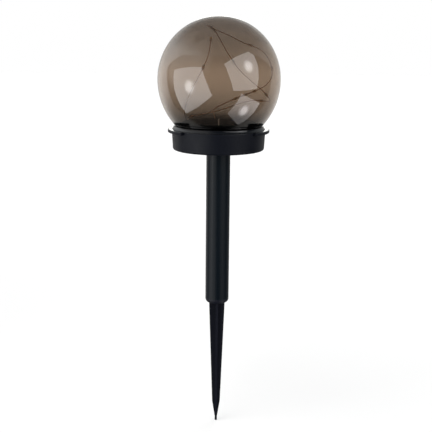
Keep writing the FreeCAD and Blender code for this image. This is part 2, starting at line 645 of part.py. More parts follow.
def make_top_plate():
    """Raised plate with the panel's tray, its foot on the housing's ribs and three screw posts underneath."""
    body = new_body("top_plate", UNDERSIDE)
    under = "(%s - plate_thickness)" % PLATEAU_HEIGHT
    revolve(body, outline(new_sketch(body), [
        ("0", under),
        (PLATEAU_RADIUS + " - plate_wall", under),
        (PLATEAU_RADIUS + " - plate_wall", SEAT_HEIGHT),
        (SKIRT_BORE + " - foot_gap", SEAT_HEIGHT),
        (SKIRT_BORE + " - foot_gap", SEAT_HEIGHT + " + foot_thickness"),
        (PLATEAU_RADIUS, SEAT_HEIGHT + " + foot_thickness"),
        (PLATEAU_RADIUS, PLATEAU_HEIGHT + " - plateau_round"),
        (PLATEAU_RADIUS + " - plateau_round", PLATEAU_HEIGHT),
        ("0", PLATEAU_HEIGHT),
    ], {6: "plateau_round"}))
    spot = (SCREW_CIRCLE + " * cos(screw_direction)", SCREW_CIRCLE + " * sin(screw_direction)")
    post = pad(body, disc(new_sketch(body, "XY_Plane", "boss_height"), *spot, "post_radius"),
               under + " - boss_height + plate_thickness / 2")
    repeat(body, [post], "screw_count")
    circle = disc(new_sketch(body, "XY_Plane", "boss_height"), *spot, "screw_radius + screw_play")
    pilot = pocket(body, circle, "screw_length + recess_depth - boss_height + 1")
    repeat(body, [pilot], "screw_count")
    half_tray = "(panel_side / 2 + tray_gap)"
    pocket(body, rectangle(new_sketch(body, "XY_Plane", TRAY_FLOOR),
                           "-" + half_tray, "-" + half_tray, half_tray, half_tray), "tray_depth")
    pocket(body, rectangle(new_sketch(body, "XY_Plane", under),
                           "-lead_slot_length / 2", "lead_slot_y - lead_slot_width / 2",
                           "lead_slot_length / 2", "lead_slot_y + lead_slot_width / 2"), "plate_thickness")
    pocket(body, disc(new_sketch(body, "XY_Plane", under), "grommet_x", GROMMET_Y,
                      "grommet_radius + grommet_play"), "plate_thickness")
    return body


def make_seal_ring():
    """Square rubber ring round the plateau, on the top plate's foot."""
    body = new_body("seal_ring", UNDERSIDE)
    bottom = "(%s + foot_thickness)" % SEAT_HEIGHT
    inner = "(%s + seal_gap)" % PLATEAU_RADIUS
    corner = "(seal_section / 8)"
    outer = "(%s + seal_section)" % inner
    top = "(%s + seal_section)" % bottom
    revolve(body, outline(new_sketch(body), [
        (inner, bottom),
        (outer, bottom),
        (outer, top + " - " + corner),
        (outer + " - " + corner, top),
        (inner + " + " + corner, top),
        (inner, top + " - " + corner),
    ]))
    return body


def make_wire_grommet():
    """Rubber grommet in the top plate, flanged above and below it."""
    body = new_body("wire_grommet", UNDERSIDE, "grommet_x", GROMMET_Y)
    under = "(%s - plate_thickness)" % PLATEAU_HEIGHT
    revolve(body, outline(new_sketch(body), [
        ("wire_diameter / 2", under + " - grommet_lip"),
        ("grommet_flange - grommet_lip / 2", under + " - grommet_lip"),
        ("grommet_flange", under),
        ("grommet_radius", under),
        ("grommet_radius", PLATEAU_HEIGHT),
        ("grommet_flange", PLATEAU_HEIGHT),
        ("grommet_flange - grommet_lip / 2", PLATEAU_HEIGHT + " + grommet_lip"),
        ("wire_diameter / 2", PLATEAU_HEIGHT + " + grommet_lip"),
    ]))
    return body


def make_plate_screws():
    """Three pan-head screws that come up through the housing's bosses into the top plate's posts."""
    body = new_body("plate_screws", UNDERSIDE)
    body.AllowCompound = True
    spot = (SCREW_CIRCLE + " * cos(screw_direction)", SCREW_CIRCLE + " * sin(screw_direction)")
    shank = pad(body, disc(new_sketch(body, "XY_Plane", "recess_depth"), *spot, "screw_radius"),
                "screw_length")
    head = pad(body, disc(new_sketch(body, "XY_Plane", "recess_depth - screw_head_height"), *spot,
                          "screw_head_radius"), "screw_head_height")
    repeat(body, [shank, head], "screw_count")
    low = size("recess_depth - screw_head_height")
    soften(body, "Fillet", "screw_head_height / 3",
           lambda edge: isinstance(edge.Curve, Part.Circle) and edge.Curve.Radius > size("screw_radius") + 0.1
           and abs(edge.BoundBox.ZMin - low) < 1e-4 and abs(edge.BoundBox.ZMax - low) < 1e-4)
    return body


# ---------------------------------------------------------------- solar panel

def make_panel():
    """Panel of the top plate's tray: adhesive pad, board, two cells, ribbon and clear resin."""
    half = "panel_side / 2"
    pad_side = "panel_side - 2 * pad_margin"
    whole_pad = block("whole_pad", "-%s + pad_margin" % half, "-%s + pad_margin" % half, TRAY_FLOOR,
                      pad_side, pad_side, "pad_thickness")
    pad_slot = block("pad_slot", "-lead_slot_length / 2", "lead_slot_y - lead_slot_width / 2", TRAY_FLOOR,
                     "lead_slot_length", "lead_slot_width", "pad_thickness")
    panel_pad = document.addObject("Part::Cut", "panel_pad")
    panel_pad.Base = whole_pad
    panel_pad.Tool = pad_slot
    bind(panel_pad, "Placement.Base.z", UNDERSIDE)

    board = block("panel_board", "-" + half, "-" + half, "%s + %s" % (UNDERSIDE, PANEL_BOTTOM),
                  "panel_side", "panel_side", "panel_thickness")
    base = "%s + %s" % (UNDERSIDE, PANEL_TOP)
    cell_width = "(%s - cell_margin - ribbon_width / 2)" % half
    cell_front = "cell_margin - " + half
    cell_length = "panel_side - 2 * cell_margin"
    cells = [
        block("left_cell", cell_front, cell_front, base, cell_width, cell_length, "cell_thickness"),
        block("right_cell", "ribbon_width / 2", cell_front, base, cell_width, cell_length, "cell_thickness"),
    ]
    solar_cells = group("solar_cells", cells)
    ribbon = block("cell_ribbon", "-ribbon_width / 2", "ribbon_margin - " + half, base,
                   "ribbon_width", "panel_side - 2 * ribbon_margin", "ribbon_thickness")

    resin_side = "panel_side - 2 * resin_margin"
    resin_block = block("resin_block", "-%s + resin_margin" % half, "-%s + resin_margin" % half, base,
                        resin_side, resin_side, "resin_thickness")
    document.recompute()
    rounded = document.addObject("Part::Fillet", "resin_rounded")
    rounded.Base = resin_block
    top = resin_block.Shape.BoundBox.ZMax
    reach = size("resin_round")
    rounded.Edges = [(number, reach, reach) for number, edge in enumerate(resin_block.Shape.Edges, start=1)
                     if abs(edge.BoundBox.ZMin - top) < 1e-6]
    document.recompute()
    inlay = document.addObject("Part::MultiFuse", "resin_inlay")
    inlay.Shapes = cells + [ribbon]
    resin = document.addObject("Part::Cut", "panel_resin")
    resin.Base = rounded
    resin.Tool = inlay
    document.recompute()
    return [panel_pad, board, solar_cells, ribbon, resin]


# ---------------------------------------------------------------- control board

def make_control_board():
    """Small board on two bosses, with a hole for each screw."""
    body = new_body("control_board", "%s + %s" % (UNDERSIDE, BOARD_HEIGHT), "board_x", BOARD_Y)
    pad(body, rectangle(new_sketch(body, "XY_Plane"), "-board_width / 2", "-board_depth / 2",
                        "board_width / 2", "board_depth / 2"), "board_thickness")
    for x, y in (("-board_screw_x", "board_screw_y"), ("board_screw_x", "-board_screw_y")):
        pocket(body, disc(new_sketch(body, "XY_Plane"), x, y, "board_screw_radius + 3 * screw_play"),
               "board_thickness")
    return body


def make_board_screws():
    """Two small screws that hold the control board."""
    body = new_body("board_screws", "%s + %s" % (UNDERSIDE, BOARD_TOP), "board_x", BOARD_Y)
    body.AllowCompound = True
    for x, y in (("-board_screw_x", "board_screw_y"), ("board_screw_x", "-board_screw_y")):
        pad(body, disc(new_sketch(body, "XY_Plane", "-board_screw_length"), x, y, "board_screw_radius"),
            "board_screw_length")
        pad(body, disc(new_sketch(body, "XY_Plane"), x, y, "board_screw_head"), "board_screw_head * 0.7")
    return body


def make_driver_chip():
    """Eight-legged chip with gull-wing legs, simplified to flat feet."""
    body = new_body("driver_chip", "%s + %s" % (UNDERSIDE, BOARD_TOP), "board_x + 5", BOARD_Y + " - 1.5")
    pad(body, rectangle(new_sketch(body, "XY_Plane", "0.1"), "-chip_length / 2", "-chip_width / 2",
                        "chip_length / 2", "chip_width / 2"), "chip_height - 0.1")
    reach = "chip_width / 2 + chip_leg_reach"
    for step in (-1.5, -0.5, 0.5, 1.5):
        middle = "%.1f * chip_length / 4" % step
        pad(body, rectangle(new_sketch(body, "XY_Plane"), middle + " - 0.2", "-(%s)" % reach,
                            middle + " + 0.2", reach), "chip_height / 3")
    return body


def make_inductor():
    """Drum inductor with two flanges and its winding between them."""
    body = new_body("inductor", "%s + %s" % (UNDERSIDE, BOARD_TOP), "board_x - 4", BOARD_Y + " - 2")
    revolve(body, outline(new_sketch(body), [
        ("0", "0"),
        ("inductor_radius", "0"),
        ("inductor_radius", "inductor_flange"),
        ("inductor_waist", "inductor_flange"),
        ("inductor_waist", "inductor_height - inductor_flange"),
        ("inductor_radius", "inductor_height - inductor_flange"),
        ("inductor_radius", "inductor_height"),
        ("0", "inductor_height"),
    ]))
    return body


def make_capacitor():
    """Upright capacitor with the rolled neck near its foot."""
    body = new_body("capacitor", "%s + %s" % (UNDERSIDE, BOARD_TOP), "board_x + 10.5", BOARD_Y + " + 2.5")
    neck = "(capacitor_radius * 0.9)"
    revolve(body, outline(new_sketch(body), [
        ("0", "0"),
        (neck, "0"),
        ("capacitor_radius", "capacitor_height * 0.05"),
        ("capacitor_radius", "capacitor_height * 0.12"),
        (neck, "capacitor_height * 0.16"),
        ("capacitor_radius", "capacitor_height * 0.20"),
        ("capacitor_radius", "capacitor_height * 0.96"),
        (neck, "capacitor_height"),
        ("0", "capacitor_height"),
    ]))
    return body


def make_switch_body():
    """Square push switch under the control board."""
    body = new_body("switch_body", "%s + %s" % (UNDERSIDE, SWITCH_BOTTOM), "board_x", BOARD_Y)
    height = "(%s - %s)" % (BOARD_HEIGHT, SWITCH_BOTTOM)
    half = "switch_side / 2"
    case = rectangle(new_sketch(body, "XY_Plane", "0.4"), "-" + half, "-" + half, half, half)
    pad(body, case, height + " - 0.4")
    pad(body, disc(new_sketch(body, "XY_Plane"), "0", "0", "button_stem_radius * 1.4"), "0.6")
    return body


def make_switch_button():
    """Round button: the cap outside, the flange that keeps it in and the stem that presses the switch."""
    body = new_body("switch_button", UNDERSIDE, "board_x", BOARD_Y)
    top = "(floor_thickness + button_flange_height)"
    revolve(body, outline(new_sketch(body), [
        ("0", "-button_reach"),
        ("button_radius - button_round", "-button_reach"),
        ("button_radius", "-button_reach + button_round"),
        ("button_radius", FLANGE_REST),
        ("button_flange", FLANGE_REST),
        ("button_flange", top),
        ("button_stem_radius", top),
        ("button_stem_radius", top + " + stem_length"),
        ("0", top + " + stem_length"),
    ], {1: "button_round"}))
    return body


# ---------------------------------------------------------------- battery

def make_battery_cell():
    """Cell on its side: case with a rolled shoulder, and the positive nub towards +X."""
    body = new_body("battery_cell", "%s + %s" % (UNDERSIDE, CELL_AXIS), y=CELL_Y)
    start = "(-%s)" % CELL_FRONT
    end = "(%s - nub_length)" % CELL_FRONT
    roll = "(nub_length / 2)"
    revolve(body, outline(new_sketch(body), [
        (start, "0"),
        (CELL_FRONT, "0"),
        (CELL_FRONT, "nub_radius"),
        (end, "nub_radius"),
        (end, "cell_radius - " + roll),
        (end + " - " + roll, "cell_radius"),
        (start + " + " + roll, "cell_radius"),
        (start, "cell_radius - " + roll),
    ], {4: roll, 6: roll}), "H_Axis")
    return body


def make_contacts():
    """Flat plate at the positive end, and a folded leaf that presses on the negative end."""
    plus = new_body("contact_positive", UNDERSIDE, y=CELL_Y)
    pad(plus, rectangle(new_sketch(plus, "XZ_Plane"), CELL_FRONT, CELL_AXIS + " - contact_width / 2",
                        CELL_FRONT + " + contact_thickness", BAY_TOP), "contact_width", both_ways=True)
    minus = new_body("contact_negative", UNDERSIDE, y=CELL_Y)
    wall = "(%s)" % BAY_MINUS
    leaf = "(-%s)" % CELL_FRONT
    low = "(%s - contact_width / 2)" % CELL_AXIS
    pad(minus, outline(new_sketch(minus, "XZ_Plane"), [
        (wall, low),
        (wall + " + contact_thickness", low + " - contact_thickness"),
        (leaf, CELL_AXIS + " - contact_thickness"),
        (leaf, CELL_AXIS + " + contact_thickness"),
        (leaf + " - spring_depth / 2", CELL_AXIS + " + contact_width / 3"),
        (leaf + " - spring_depth / 2 - contact_thickness", CELL_AXIS + " + contact_width / 3"),
        (leaf + " - contact_thickness", CELL_AXIS),
        (wall + " + contact_thickness", low + " + contact_thickness"),
        (wall + " + contact_thickness", BAY_TOP),
        (wall, BAY_TOP),
    ]), "contact_width", both_ways=True)
    return [plus, minus]


# ---------------------------------------------------------------- globe and collar

def make_globe_shell():
    """Blown globe: tangent arcs above its middle, one fuller arc below it, then the straight neck."""
    body = new_body("globe_shell", GLOBE_MIDDLE)
    # The upper wall is an arc centred past the axis, up to 45 degrees, then one centred on the axis.
    past = "(globe_crown / (2 - sqrt(2)))"
    side_arc = "(globe_radius + %s)" % past
    crown_arc = "(%s - %s * sqrt(2))" % (side_arc, past)
    join = "(%s / sqrt(2))" % side_arc
    neck_end = "(ledge_thickness - flange_thickness - %s)" % GLOBE_LIFT
    outside = "(-sqrt(%s ^ 2 - (%s + globe_lower_shift) ^ 2))" % (LOWER_ARC, NECK_RADIUS)
    inner_arc = "(%s - globe_wall)" % LOWER_ARC
    inside = "(-sqrt(%s ^ 2 - (%s + globe_lower_shift) ^ 2))" % (inner_arc, NECK_BORE)
    thin = "globe_wall / sqrt(2)"
    revolve(body, outline(new_sketch(body), [
        ("0", GLOBE_RISE + " - globe_wall"),
        ("%s - %s - %s" % (join, past, thin), "%s - %s" % (join, thin)),
        ("globe_radius - globe_wall", "0"),
        (NECK_BORE, inside),
        (NECK_BORE, neck_end),
        (NECK_RADIUS, neck_end),
        (NECK_RADIUS, outside),
        ("globe_radius", "0"),
        ("%s - %s" % (join, past), join),
        ("0", GLOBE_RISE),
    ], {
        0: "-(%s - globe_wall)" % crown_arc,
        1: "-(%s - globe_wall)" % side_arc,
        2: "-" + inner_arc,
        6: LOWER_ARC,
        7: side_arc,
        8: crown_arc,
    }))
    return body


def lip_arc_height(radius):
    """Height above the rim of the collar's flared seat at a radius."""
    reach = "(%s + bond_gap)" % LOWER_ARC
    drop = "sqrt(%s ^ 2 - (%s + globe_lower_shift) ^ 2)" % (reach, radius)
    return "(flange_thickness + %s - %s)" % (GLOBE_LIFT, drop)


def lip_arc_radius(height):
    """Radius of the collar's flared seat at a height above the rim."""
    reach = "(%s + bond_gap)" % LOWER_ARC
    drop = "(flange_thickness + %s - (%s))" % (GLOBE_LIFT, height)
    return "(sqrt(%s ^ 2 - %s ^ 2) - globe_lower_shift)" % (reach, drop)


def make_globe_collar():
    """Turned ring with lip, flange, ledge and skirt, then two ears and the bayonet lugs."""
    body = new_body("globe_collar", RIM)
    lip_top = "(flange_thickness + lip_height)"
    lip_bore = lip_arc_radius(lip_top)
    lip_outside = "(%s + lip_edge + lip_round)" % lip_bore
    revolve(body, outline(new_sketch(body), [
        (SKIRT_BORE, "-skirt_depth"),
        (SKIRT_RADIUS, "-skirt_depth"),
        (SKIRT_RADIUS, "0"),
        (FLANGE_RADIUS, "0"),
        (FLANGE_RADIUS, "flange_thickness"),
        (lip_outside + " + lip_slope", "flange_thickness"),
        (lip_outside, lip_top + " - lip_round"),
        (lip_outside + " - lip_round", lip_top),
        (lip_bore, lip_top),
        (COLLAR_BORE, lip_arc_height(COLLAR_BORE)),
        (COLLAR_BORE, "ledge_thickness"),
        (NECK_BORE + " - ledge_lap", "ledge_thickness"),
        (NECK_BORE + " - ledge_lap", "0"),
        (SKIRT_BORE, "0"),
    ], {6: "lip_round", 8: "-(%s + bond_gap)" % LOWER_ARC}))
    ear = pad(body, ring_piece(new_sketch(body, "XY_Plane"), LUG_RADIUS, EAR_RADIUS,
                               "-ear_angle / 2", "ear_angle / 2"), "flange_thickness")
    repeat(body, [ear], "2")
    lug = pad(body, ring_piece(new_sketch(body, "XY_Plane", "-skirt_depth"),
                               "(%s - skirt_wall / 2)" % SKIRT_RADIUS, LUG_RADIUS,
                               "lug_start - lug_angle / 2", "lug_start + lug_angle / 2"), "lug_thickness")
    repeat(body, [lug], "bayonet_count")
    top = size("flange_thickness")
    soften(body, "Chamfer", "flange_bevel",
           lambda edge: circular(edge, size(EAR_RADIUS), top) or circular(edge, size(FLANGE_RADIUS), top))
    return body


def make_neck_adhesive():
    """Adhesive that fills the gap between the neck and the collar, up to just below the lip's top."""
    body = new_body("neck_adhesive", RIM)
    globe_height = "flange_thickness + " + GLOBE_LIFT
    top = "(flange_thickness + lip_height * 0.8)"
    globe_edge = "(sqrt(%s ^ 2 - (%s - %s) ^ 2) - globe_lower_shift)" % (LOWER_ARC, globe_height, top)
    shoulder = "(flange_thickness + neck_rise)"
    revolve(body, outline(new_sketch(body), [
        (NECK_RADIUS, "ledge_thickness + bond_gap"),
        (COLLAR_BORE, "ledge_thickness + bond_gap"),
        (COLLAR_BORE, lip_arc_height(COLLAR_BORE)),
        (lip_arc_radius(top), top),
        (globe_edge, top),
        (NECK_RADIUS, shoulder),
    ], {2: "(%s + bond_gap)" % LOWER_ARC, 4: "-" + LOWER_ARC}))
    return body


# ---------------------------------------------------------------- wires

def wire_path(route):
    """Straight runs joined by tangent arcs, each as large as its two runs allow; also the least radius."""
    points = [FreeCAD.Vector(*point) for point in route]
    edges = []
    radii = []
    start = points[0]
    for before, corner, after in zip(points, points[1:], points[2:]):
        arriving = (corner - before).normalize()
        leaving = (after - corner).normalize()
        turn = arriving.getAngle(leaving)
        shorter = min((corner - before).Length, (after - corner).Length)
        cut_back = 0.45 * shorter
        radius = cut_back / math.tan(turn / 2)
        radii.append(radius)
        enter = corner - arriving * cut_back
        leave = corner + leaving * cut_back
        inward = (leaving - arriving).normalize()
        centre = corner + inward * (radius / math.cos(turn / 2))
        edges.append(Part.LineSegment(start, enter).toShape())
        edges.append(Part.Arc(enter, centre - inward * radius, leave).toShape())
        start = leave
    edges.append(Part.LineSegment(start, points[-1]).toShape())
    return Part.Wire(edges), min(radii)


def wire_solid(label, route, diameter):
    """Round wire along a route, with its volume checked against section times length."""
    path, least = wire_path(route)
    direction = FreeCAD.Vector(*route[1]) - FreeCAD.Vector(*route[0])
    section = Part.Wire(Part.makeCircle(diameter / 2, FreeCAD.Vector(*route[0]), direction))
    solid = path.makePipeShell([section], True, False)
    expected = math.pi * diameter ** 2 / 4 * path.Length
    print("%s: length %.1f, least radius %.1f, volume %.1f of %.1f"
          % (label, path.Length, least, solid.Volume, expected))
    if abs(solid.Volume - expected) > 0.02 * expected:
        raise ValueError("the volume of %s is off" % label)
    return solid


def place_shape(label, shape):
    """A piece whose shape is worked out here from the sizes."""
    item = document.addObject("Part::Feature", label)
    item.Label = label
    item.Shape = shape
    item.Placement = FreeCAD.Placement()
    return item


def ease_route(route, start, finish):
    """Move a lead's ends to the pieces that they join, and the points between by their share."""
    points = [FreeCAD.Vector(*point) for point in route]
    first_move = FreeCAD.Vector(*start) - points[0]
    last_move = FreeCAD.Vector(*finish) - points[-1]
    eased = []
    for number, point in enumerate(points):
        share = min(max((number - 1) / (len(points) - 3), 0), 1)
        eased.append(tuple(point + first_move * (1 - share) + last_move * share))
    return eased


def fit_route(route):
    """Fit the fairy-light wire's route between the grommet's top and the globe's wall.

    Heights are stretched all the way and widths only above the lower part, and the first points stay with the
    grommet.
    """
    foot = route[0][2]
    drawn_height = max(point[2] for point in route) - foot
    drawn_reach = max(math.hypot(point[0], point[1]) for point in route)
    start = size("%s + %s + grommet_lip" % (UNDERSIDE, PLATEAU_HEIGHT))
    top = size("%s + %s - globe_wall - wire_top_gap" % (GLOBE_MIDDLE, GLOBE_RISE))
    stretch = (top - start) / drawn_height
    widen = size("globe_radius - globe_wall - wire_wall_gap") / drawn_reach
    shift = (size("grommet_x") - route[0][0], size(GROMMET_Y) - route[0][1])
    fitted = []
    for number, (x, y, z) in enumerate(route):
        share = 1 + (widen - 1) * min((z - foot) / drawn_height / 0.4, 1)
        hold_back = min(max((5 - number) / 4, 0), 1)
        fitted.append((x * share + shift[0] * hold_back, y * share + shift[1] * hold_back,
                       start + (z - foot) * stretch))
    return fitted


def make_inner_leads():
    """Insulated leads inside the housing, and the fairy-light wire's tail down to the board."""
    base = size(UNDERSIDE)
    solder_row = (size(BOARD_Y) + size("board_depth") / 2 - 2.8, base + size(BOARD_TOP))
    holes = [(size("board_x") + along, *solder_row) for along in (-5.8, 4.4, 14.0, -8.9, -0.5)]
    slot = (size("lead_slot_y"), base + size(PANEL_BOTTOM))
    slot_side = size("lead_slot_length") * 0.3
    contact = (size(CELL_Y), base + size(BAY_TOP))
    tab = size("contact_thickness") / 2
    starts = [(-slot_side, *slot), (slot_side, *slot), (size(CELL_FRONT) + tab, *contact),
              (size(BAY_MINUS) + tab, *contact)]
    routes = PANEL_LEAD_ROUTES + BATTERY_LEAD_ROUTES
    leads = []
    for route, start, hole in zip(routes, starts, holes):
        leads.append(wire_solid("inner lead", ease_route(route, start, hole), size("lead_diameter")))
    under = base + size("%s - plate_thickness - grommet_lip" % PLATEAU_HEIGHT)
    tail = ease_route(STRING_TAIL_ROUTE, (size("grommet_x"), size(GROMMET_Y), under), holes[4])
    return [
        place_shape("panel_leads", Part.makeCompound(leads[:2])),
        place_shape("battery_leads", Part.makeCompound(leads[2:])),
        place_shape("string_tail", wire_solid("string tail", tail, size("wire_diameter"))),
    ]


def lamp_solid(start, finish):
    """Resin drop round the middle of a run of the wire."""
    middle = (start + finish) * 0.5
    half = size("bead_length") / 2
    tip = size("bead_end_radius")
    belly = FreeCAD.Vector(size("bead_radius"), 0, 0)
    low = FreeCAD.Vector(tip, 0, -half)
    high = FreeCAD.Vector(tip, 0, half)
    edges = [
        Part.LineSegment(FreeCAD.Vector(0, 0, -half), low).toShape(),
        Part.Arc(low, belly, high).toShape(),
        Part.LineSegment(high, FreeCAD.Vector(0, 0, half)).toShape(),
        Part.LineSegment(FreeCAD.Vector(0, 0, half), FreeCAD.Vector(0, 0, -half)).toShape(),
    ]
    drop = Part.Face(Part.Wire(edges)).revolve(FreeCAD.Vector(0, 0, 0), FreeCAD.Vector(0, 0, 1), 360)
    turned = FreeCAD.Rotation(FreeCAD.Vector(0, 0, 1), finish - start)
    drop.Placement = FreeCAD.Placement(middle, turned)
    return drop


def make_fairy_lights():
    """The free wire inside the globe and the lamps cast round it, the last one at its end."""
    route = fit_route(FAIRY_ROUTE)
    wire = wire_solid("fairy-light wire", route, size("wire_diameter"))
    points = [FreeCAD.Vector(*point) for point in route]
    lamps = [lamp_solid(points[int(run)], points[int(run) + 1]).cut(wire) for run in LAMP_RUNS]
    along = (points[-1] - points[-2]).normalize() * (size("bead_length") / 2)
    lamps.append(lamp_solid(points[-1] - along, points[-1] + along).cut(wire))
    return [
        place_shape("fairy_wire", wire),
        place_shape("led_beads", Part.makeCompound([lamp.Solids[0] for lamp in lamps])),
    ]


# ---------------------------------------------------------------- build

def check(pieces):
    """Stop if any object failed or any sub-part has no valid solid."""
    for item in document.Objects:
        if {"Invalid", "Error"} & set(item.State):
            raise ValueError("%s did not build" % item.Label)
    for item in pieces:
        if item.Shape.isNull() or not item.Shape.isValid() or not item.Shape.Solids:
            raise ValueError("%s has no valid solid" % item.Label)


def main():
    """Build every sub-part, check it and write its file."""
    pieces = [
        make_ground_spike(), make_pole_tube(), make_base_housing(), make_top_plate(), make_seal_ring(),
        make_wire_grommet(), make_plate_screws(), make_control_board(), make_board_screws(),
        make_driver_chip(), make_inductor(), make_capacitor(), make_switch_body(), make_switch_button(),
        make_battery_cell(), make_globe_shell(), make_globe_collar(), make_neck_adhesive(),
    ]
    pieces += make_panel() + make_contacts() + make_inner_leads() + make_fairy_lights()
    document.recompute()
    check(pieces)
    os.makedirs("parts", exist_ok=True)
    for item in pieces:
        item.Shape.exportStep("parts/%s.step" % item.Label)
    print("%d sub-parts" % len(pieces))


main()
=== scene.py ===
import functools
import logging
import math
from dataclasses import dataclass, field
from enum import Enum
from typing import Optional, Sequence

import bmesh
import bpy
from bmesh.types import BMesh, BMVert
from bpy.types import Material, Mesh, Node, NodeSocket as Output, NodeTree, Object
from mathutils import Matrix, Vector


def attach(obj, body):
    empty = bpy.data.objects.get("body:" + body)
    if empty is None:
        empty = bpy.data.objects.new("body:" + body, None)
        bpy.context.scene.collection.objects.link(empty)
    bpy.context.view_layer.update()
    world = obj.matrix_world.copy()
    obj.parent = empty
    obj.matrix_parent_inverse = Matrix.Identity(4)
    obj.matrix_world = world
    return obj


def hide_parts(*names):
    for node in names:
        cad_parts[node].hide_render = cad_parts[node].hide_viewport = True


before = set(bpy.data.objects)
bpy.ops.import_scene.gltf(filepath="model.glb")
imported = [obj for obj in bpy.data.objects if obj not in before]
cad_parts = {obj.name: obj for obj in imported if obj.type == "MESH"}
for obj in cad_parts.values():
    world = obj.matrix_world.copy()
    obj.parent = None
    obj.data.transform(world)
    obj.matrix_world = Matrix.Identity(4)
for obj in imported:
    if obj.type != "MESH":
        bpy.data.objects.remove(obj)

LOG = logging.getLogger("globe_light")
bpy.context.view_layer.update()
MM = 0.001
SUFFIX = "_finish"

# Angles in degrees above which an edge stays sharp, and how close points are that are made one.
SHARP = 35.0
SHARP_ROUNDED = 50.0
SHARP_JOINED = 45.0
ROUNDING_STEPS = 3
WELD = 1e-7
FINE_WELD = 1e-8
TINY = 1e-9

Pair = tuple[float, float]
Point = tuple[float, float, float]
Colour = tuple[float, float, float]
Profile = list[Pair]
Span = tuple[float, ...]
Outputs = bpy.types.bpy_prop_collection


# --- named options

class Socket(Enum):
    """Socket kinds of a shader node group."""

    COLOUR = "NodeSocketColor"
    NUMBER = "NodeSocketFloat"


class Body(Enum):
    """The bodies that the new pieces ride on."""

    HEAD = "head"
    GLOBE = "globe"


class Sheen(Enum):
    """How a surface throws light back, as its roughness at the middle of its range."""

    POLISHED = 0.07
    GLOSSY = 0.16
    SATIN = 0.34
    MOULDED = 0.46
    MATT = 0.72


# --- node helpers

class Tree:
    """A node tree with short calls that add, set and join nodes.

    A Span gives where a change begins and ends, and then, where they aren't 0 and 1, its result at each.
    """

    def __init__(self, tree: NodeTree) -> None:
        """Keep the node tree of a material, a world or a group."""
        self.tree = tree

    def feed(self, node: Node, inputs: dict) -> None:
        """Give a node's inputs their values, or link them where a value is a socket.

        Args:
            node: the node.
            inputs: a socket, number, colour or vector for each input, by its name or number.
        """
        for key, value in inputs.items():
            target = node.inputs[key]
            if isinstance(value, Output):
                self.tree.links.new(value, target)
            elif target.type == "RGBA":
                target.default_value = (*value, 1.0)
            else:
                target.default_value = value

    def add(self, kind: str, inputs: Optional[dict] = None, **settings: object) -> Node:
        """Add a node.

        Args:
            kind: the node's type name without "ShaderNode".
            inputs: what its inputs are fed.
            settings: attributes to set on it.

        Returns:
            The new node.
        """
        node = self.tree.nodes.new("ShaderNode" + kind)
        for name, value in settings.items():
            setattr(node, name, value)
        self.feed(node, inputs or {})
        return node

    def math(self, operation: str, *values: object, clamp: bool = False) -> Output:
        """Work out one number, kept from 0 to 1 where clamp is set."""
        return self.add("Math", dict(enumerate(values)), operation=operation, use_clamp=clamp).outputs[0]

    def times(self, first: object, second: object) -> Output:
        """Multiply two numbers."""
        return self.math("MULTIPLY", first, second)

    def plus(self, first: object, second: object) -> Output:
        """Add two numbers."""
        return self.math("ADD", first, second)

    def dot(self, first: object, second: object) -> Output:
        """The dot product of two vectors."""
        return self.add("VectorMath", {0: first, 1: second}, operation="DOT_PRODUCT").outputs["Value"]

    def scale(self, colour: object, factor: object) -> Output:
        """A colour times a number."""
        return self.add("VectorMath", {0: colour, "Scale": factor}, operation="SCALE").outputs[0]

    def ramp(self, value: object, low: float, high: float, start: float = 0.0, end: float = 1.0,
             kind: str = "SMOOTHSTEP") -> Output:
        """Ease a number from start to end as it goes from low to high."""
        inputs = dict(enumerate((value, low, high, start, end)))
        return self.add("MapRange", inputs, interpolation_type=kind).outputs[0]

    def blend(self, share: object, first: object, second: object, mode: str = "MIX") -> Output:
        """Mix two colours by the share of the second one, or by another blend type."""
        inputs = {0: share, 6: first, 7: second}
        return self.add("Mix", inputs, data_type="RGBA", blend_type=mode, clamp_factor=True).outputs[2]

    def noise(self, place: object, scale: object, detail: float, roughness: float) -> Output:
        """Cloudy noise from 0 to 1 at a place, with its scale per metre."""
        inputs = {"Vector": place, "Scale": scale, "Detail": detail, "Roughness": roughness}
        return self.add("TexNoise", inputs).outputs[0]

    def stretch(self, place: object, scale: Point) -> Output:
        """Stretch a place by a factor on each axis."""
        return self.add("Mapping", {"Vector": place, "Scale": scale}).outputs[0]

    def place(self) -> Output:
        """The place on the object, in metres."""
        return self.add("TexCoord").outputs["Object"]

    def split(self, vector: object) -> Outputs:
        """A vector's X, Y and Z, by their names."""
        return self.add("SeparateXYZ", {0: vector}).outputs

    def group(self, nodes: NodeTree, **values: object) -> Outputs:
        """Place a node group with its own values, for its outputs."""
        return self.add("Group", values, node_tree=nodes).outputs

    def bump(self, shader: Node, height: Output, distance: float) -> None:
        """Let a height from 0 to 1, times a distance in metres, shape a shader's normal."""
        relief = self.add("Bump", {"Height": height, "Distance": distance})
        self.feed(shader, {"Normal": relief.outputs["Normal"]})


class Effect:
    """One node group, while its nodes are added."""

    def __init__(self, name: str, inputs: dict, outputs: dict[str, Socket]) -> None:
        """Start the group.

        Args:
            name: its name.
            inputs: each input's usual value, by its name.
            outputs: each output's kind, by its name.
        """
        self.group = bpy.data.node_groups.new(name, "ShaderNodeTree")
        sockets = self.group.interface
        for label, usual in inputs.items():
            kind = Socket.COLOUR if isinstance(usual, tuple) else Socket.NUMBER
            socket = sockets.new_socket(label, in_out="INPUT", socket_type=kind.value)
            socket.default_value = (*usual, 1.0) if kind is Socket.COLOUR else usual
        for label, kind in outputs.items():
            sockets.new_socket(label, in_out="OUTPUT", socket_type=kind.value)
        self.tree = Tree(self.group)
        self.given = self.group.nodes.new("NodeGroupInput").outputs

    def give(self, **values: Output) -> NodeTree:
        """Feed the group's outputs, for the finished group."""
        self.tree.feed(self.group.nodes.new("NodeGroupOutput"), values)
        return self.group


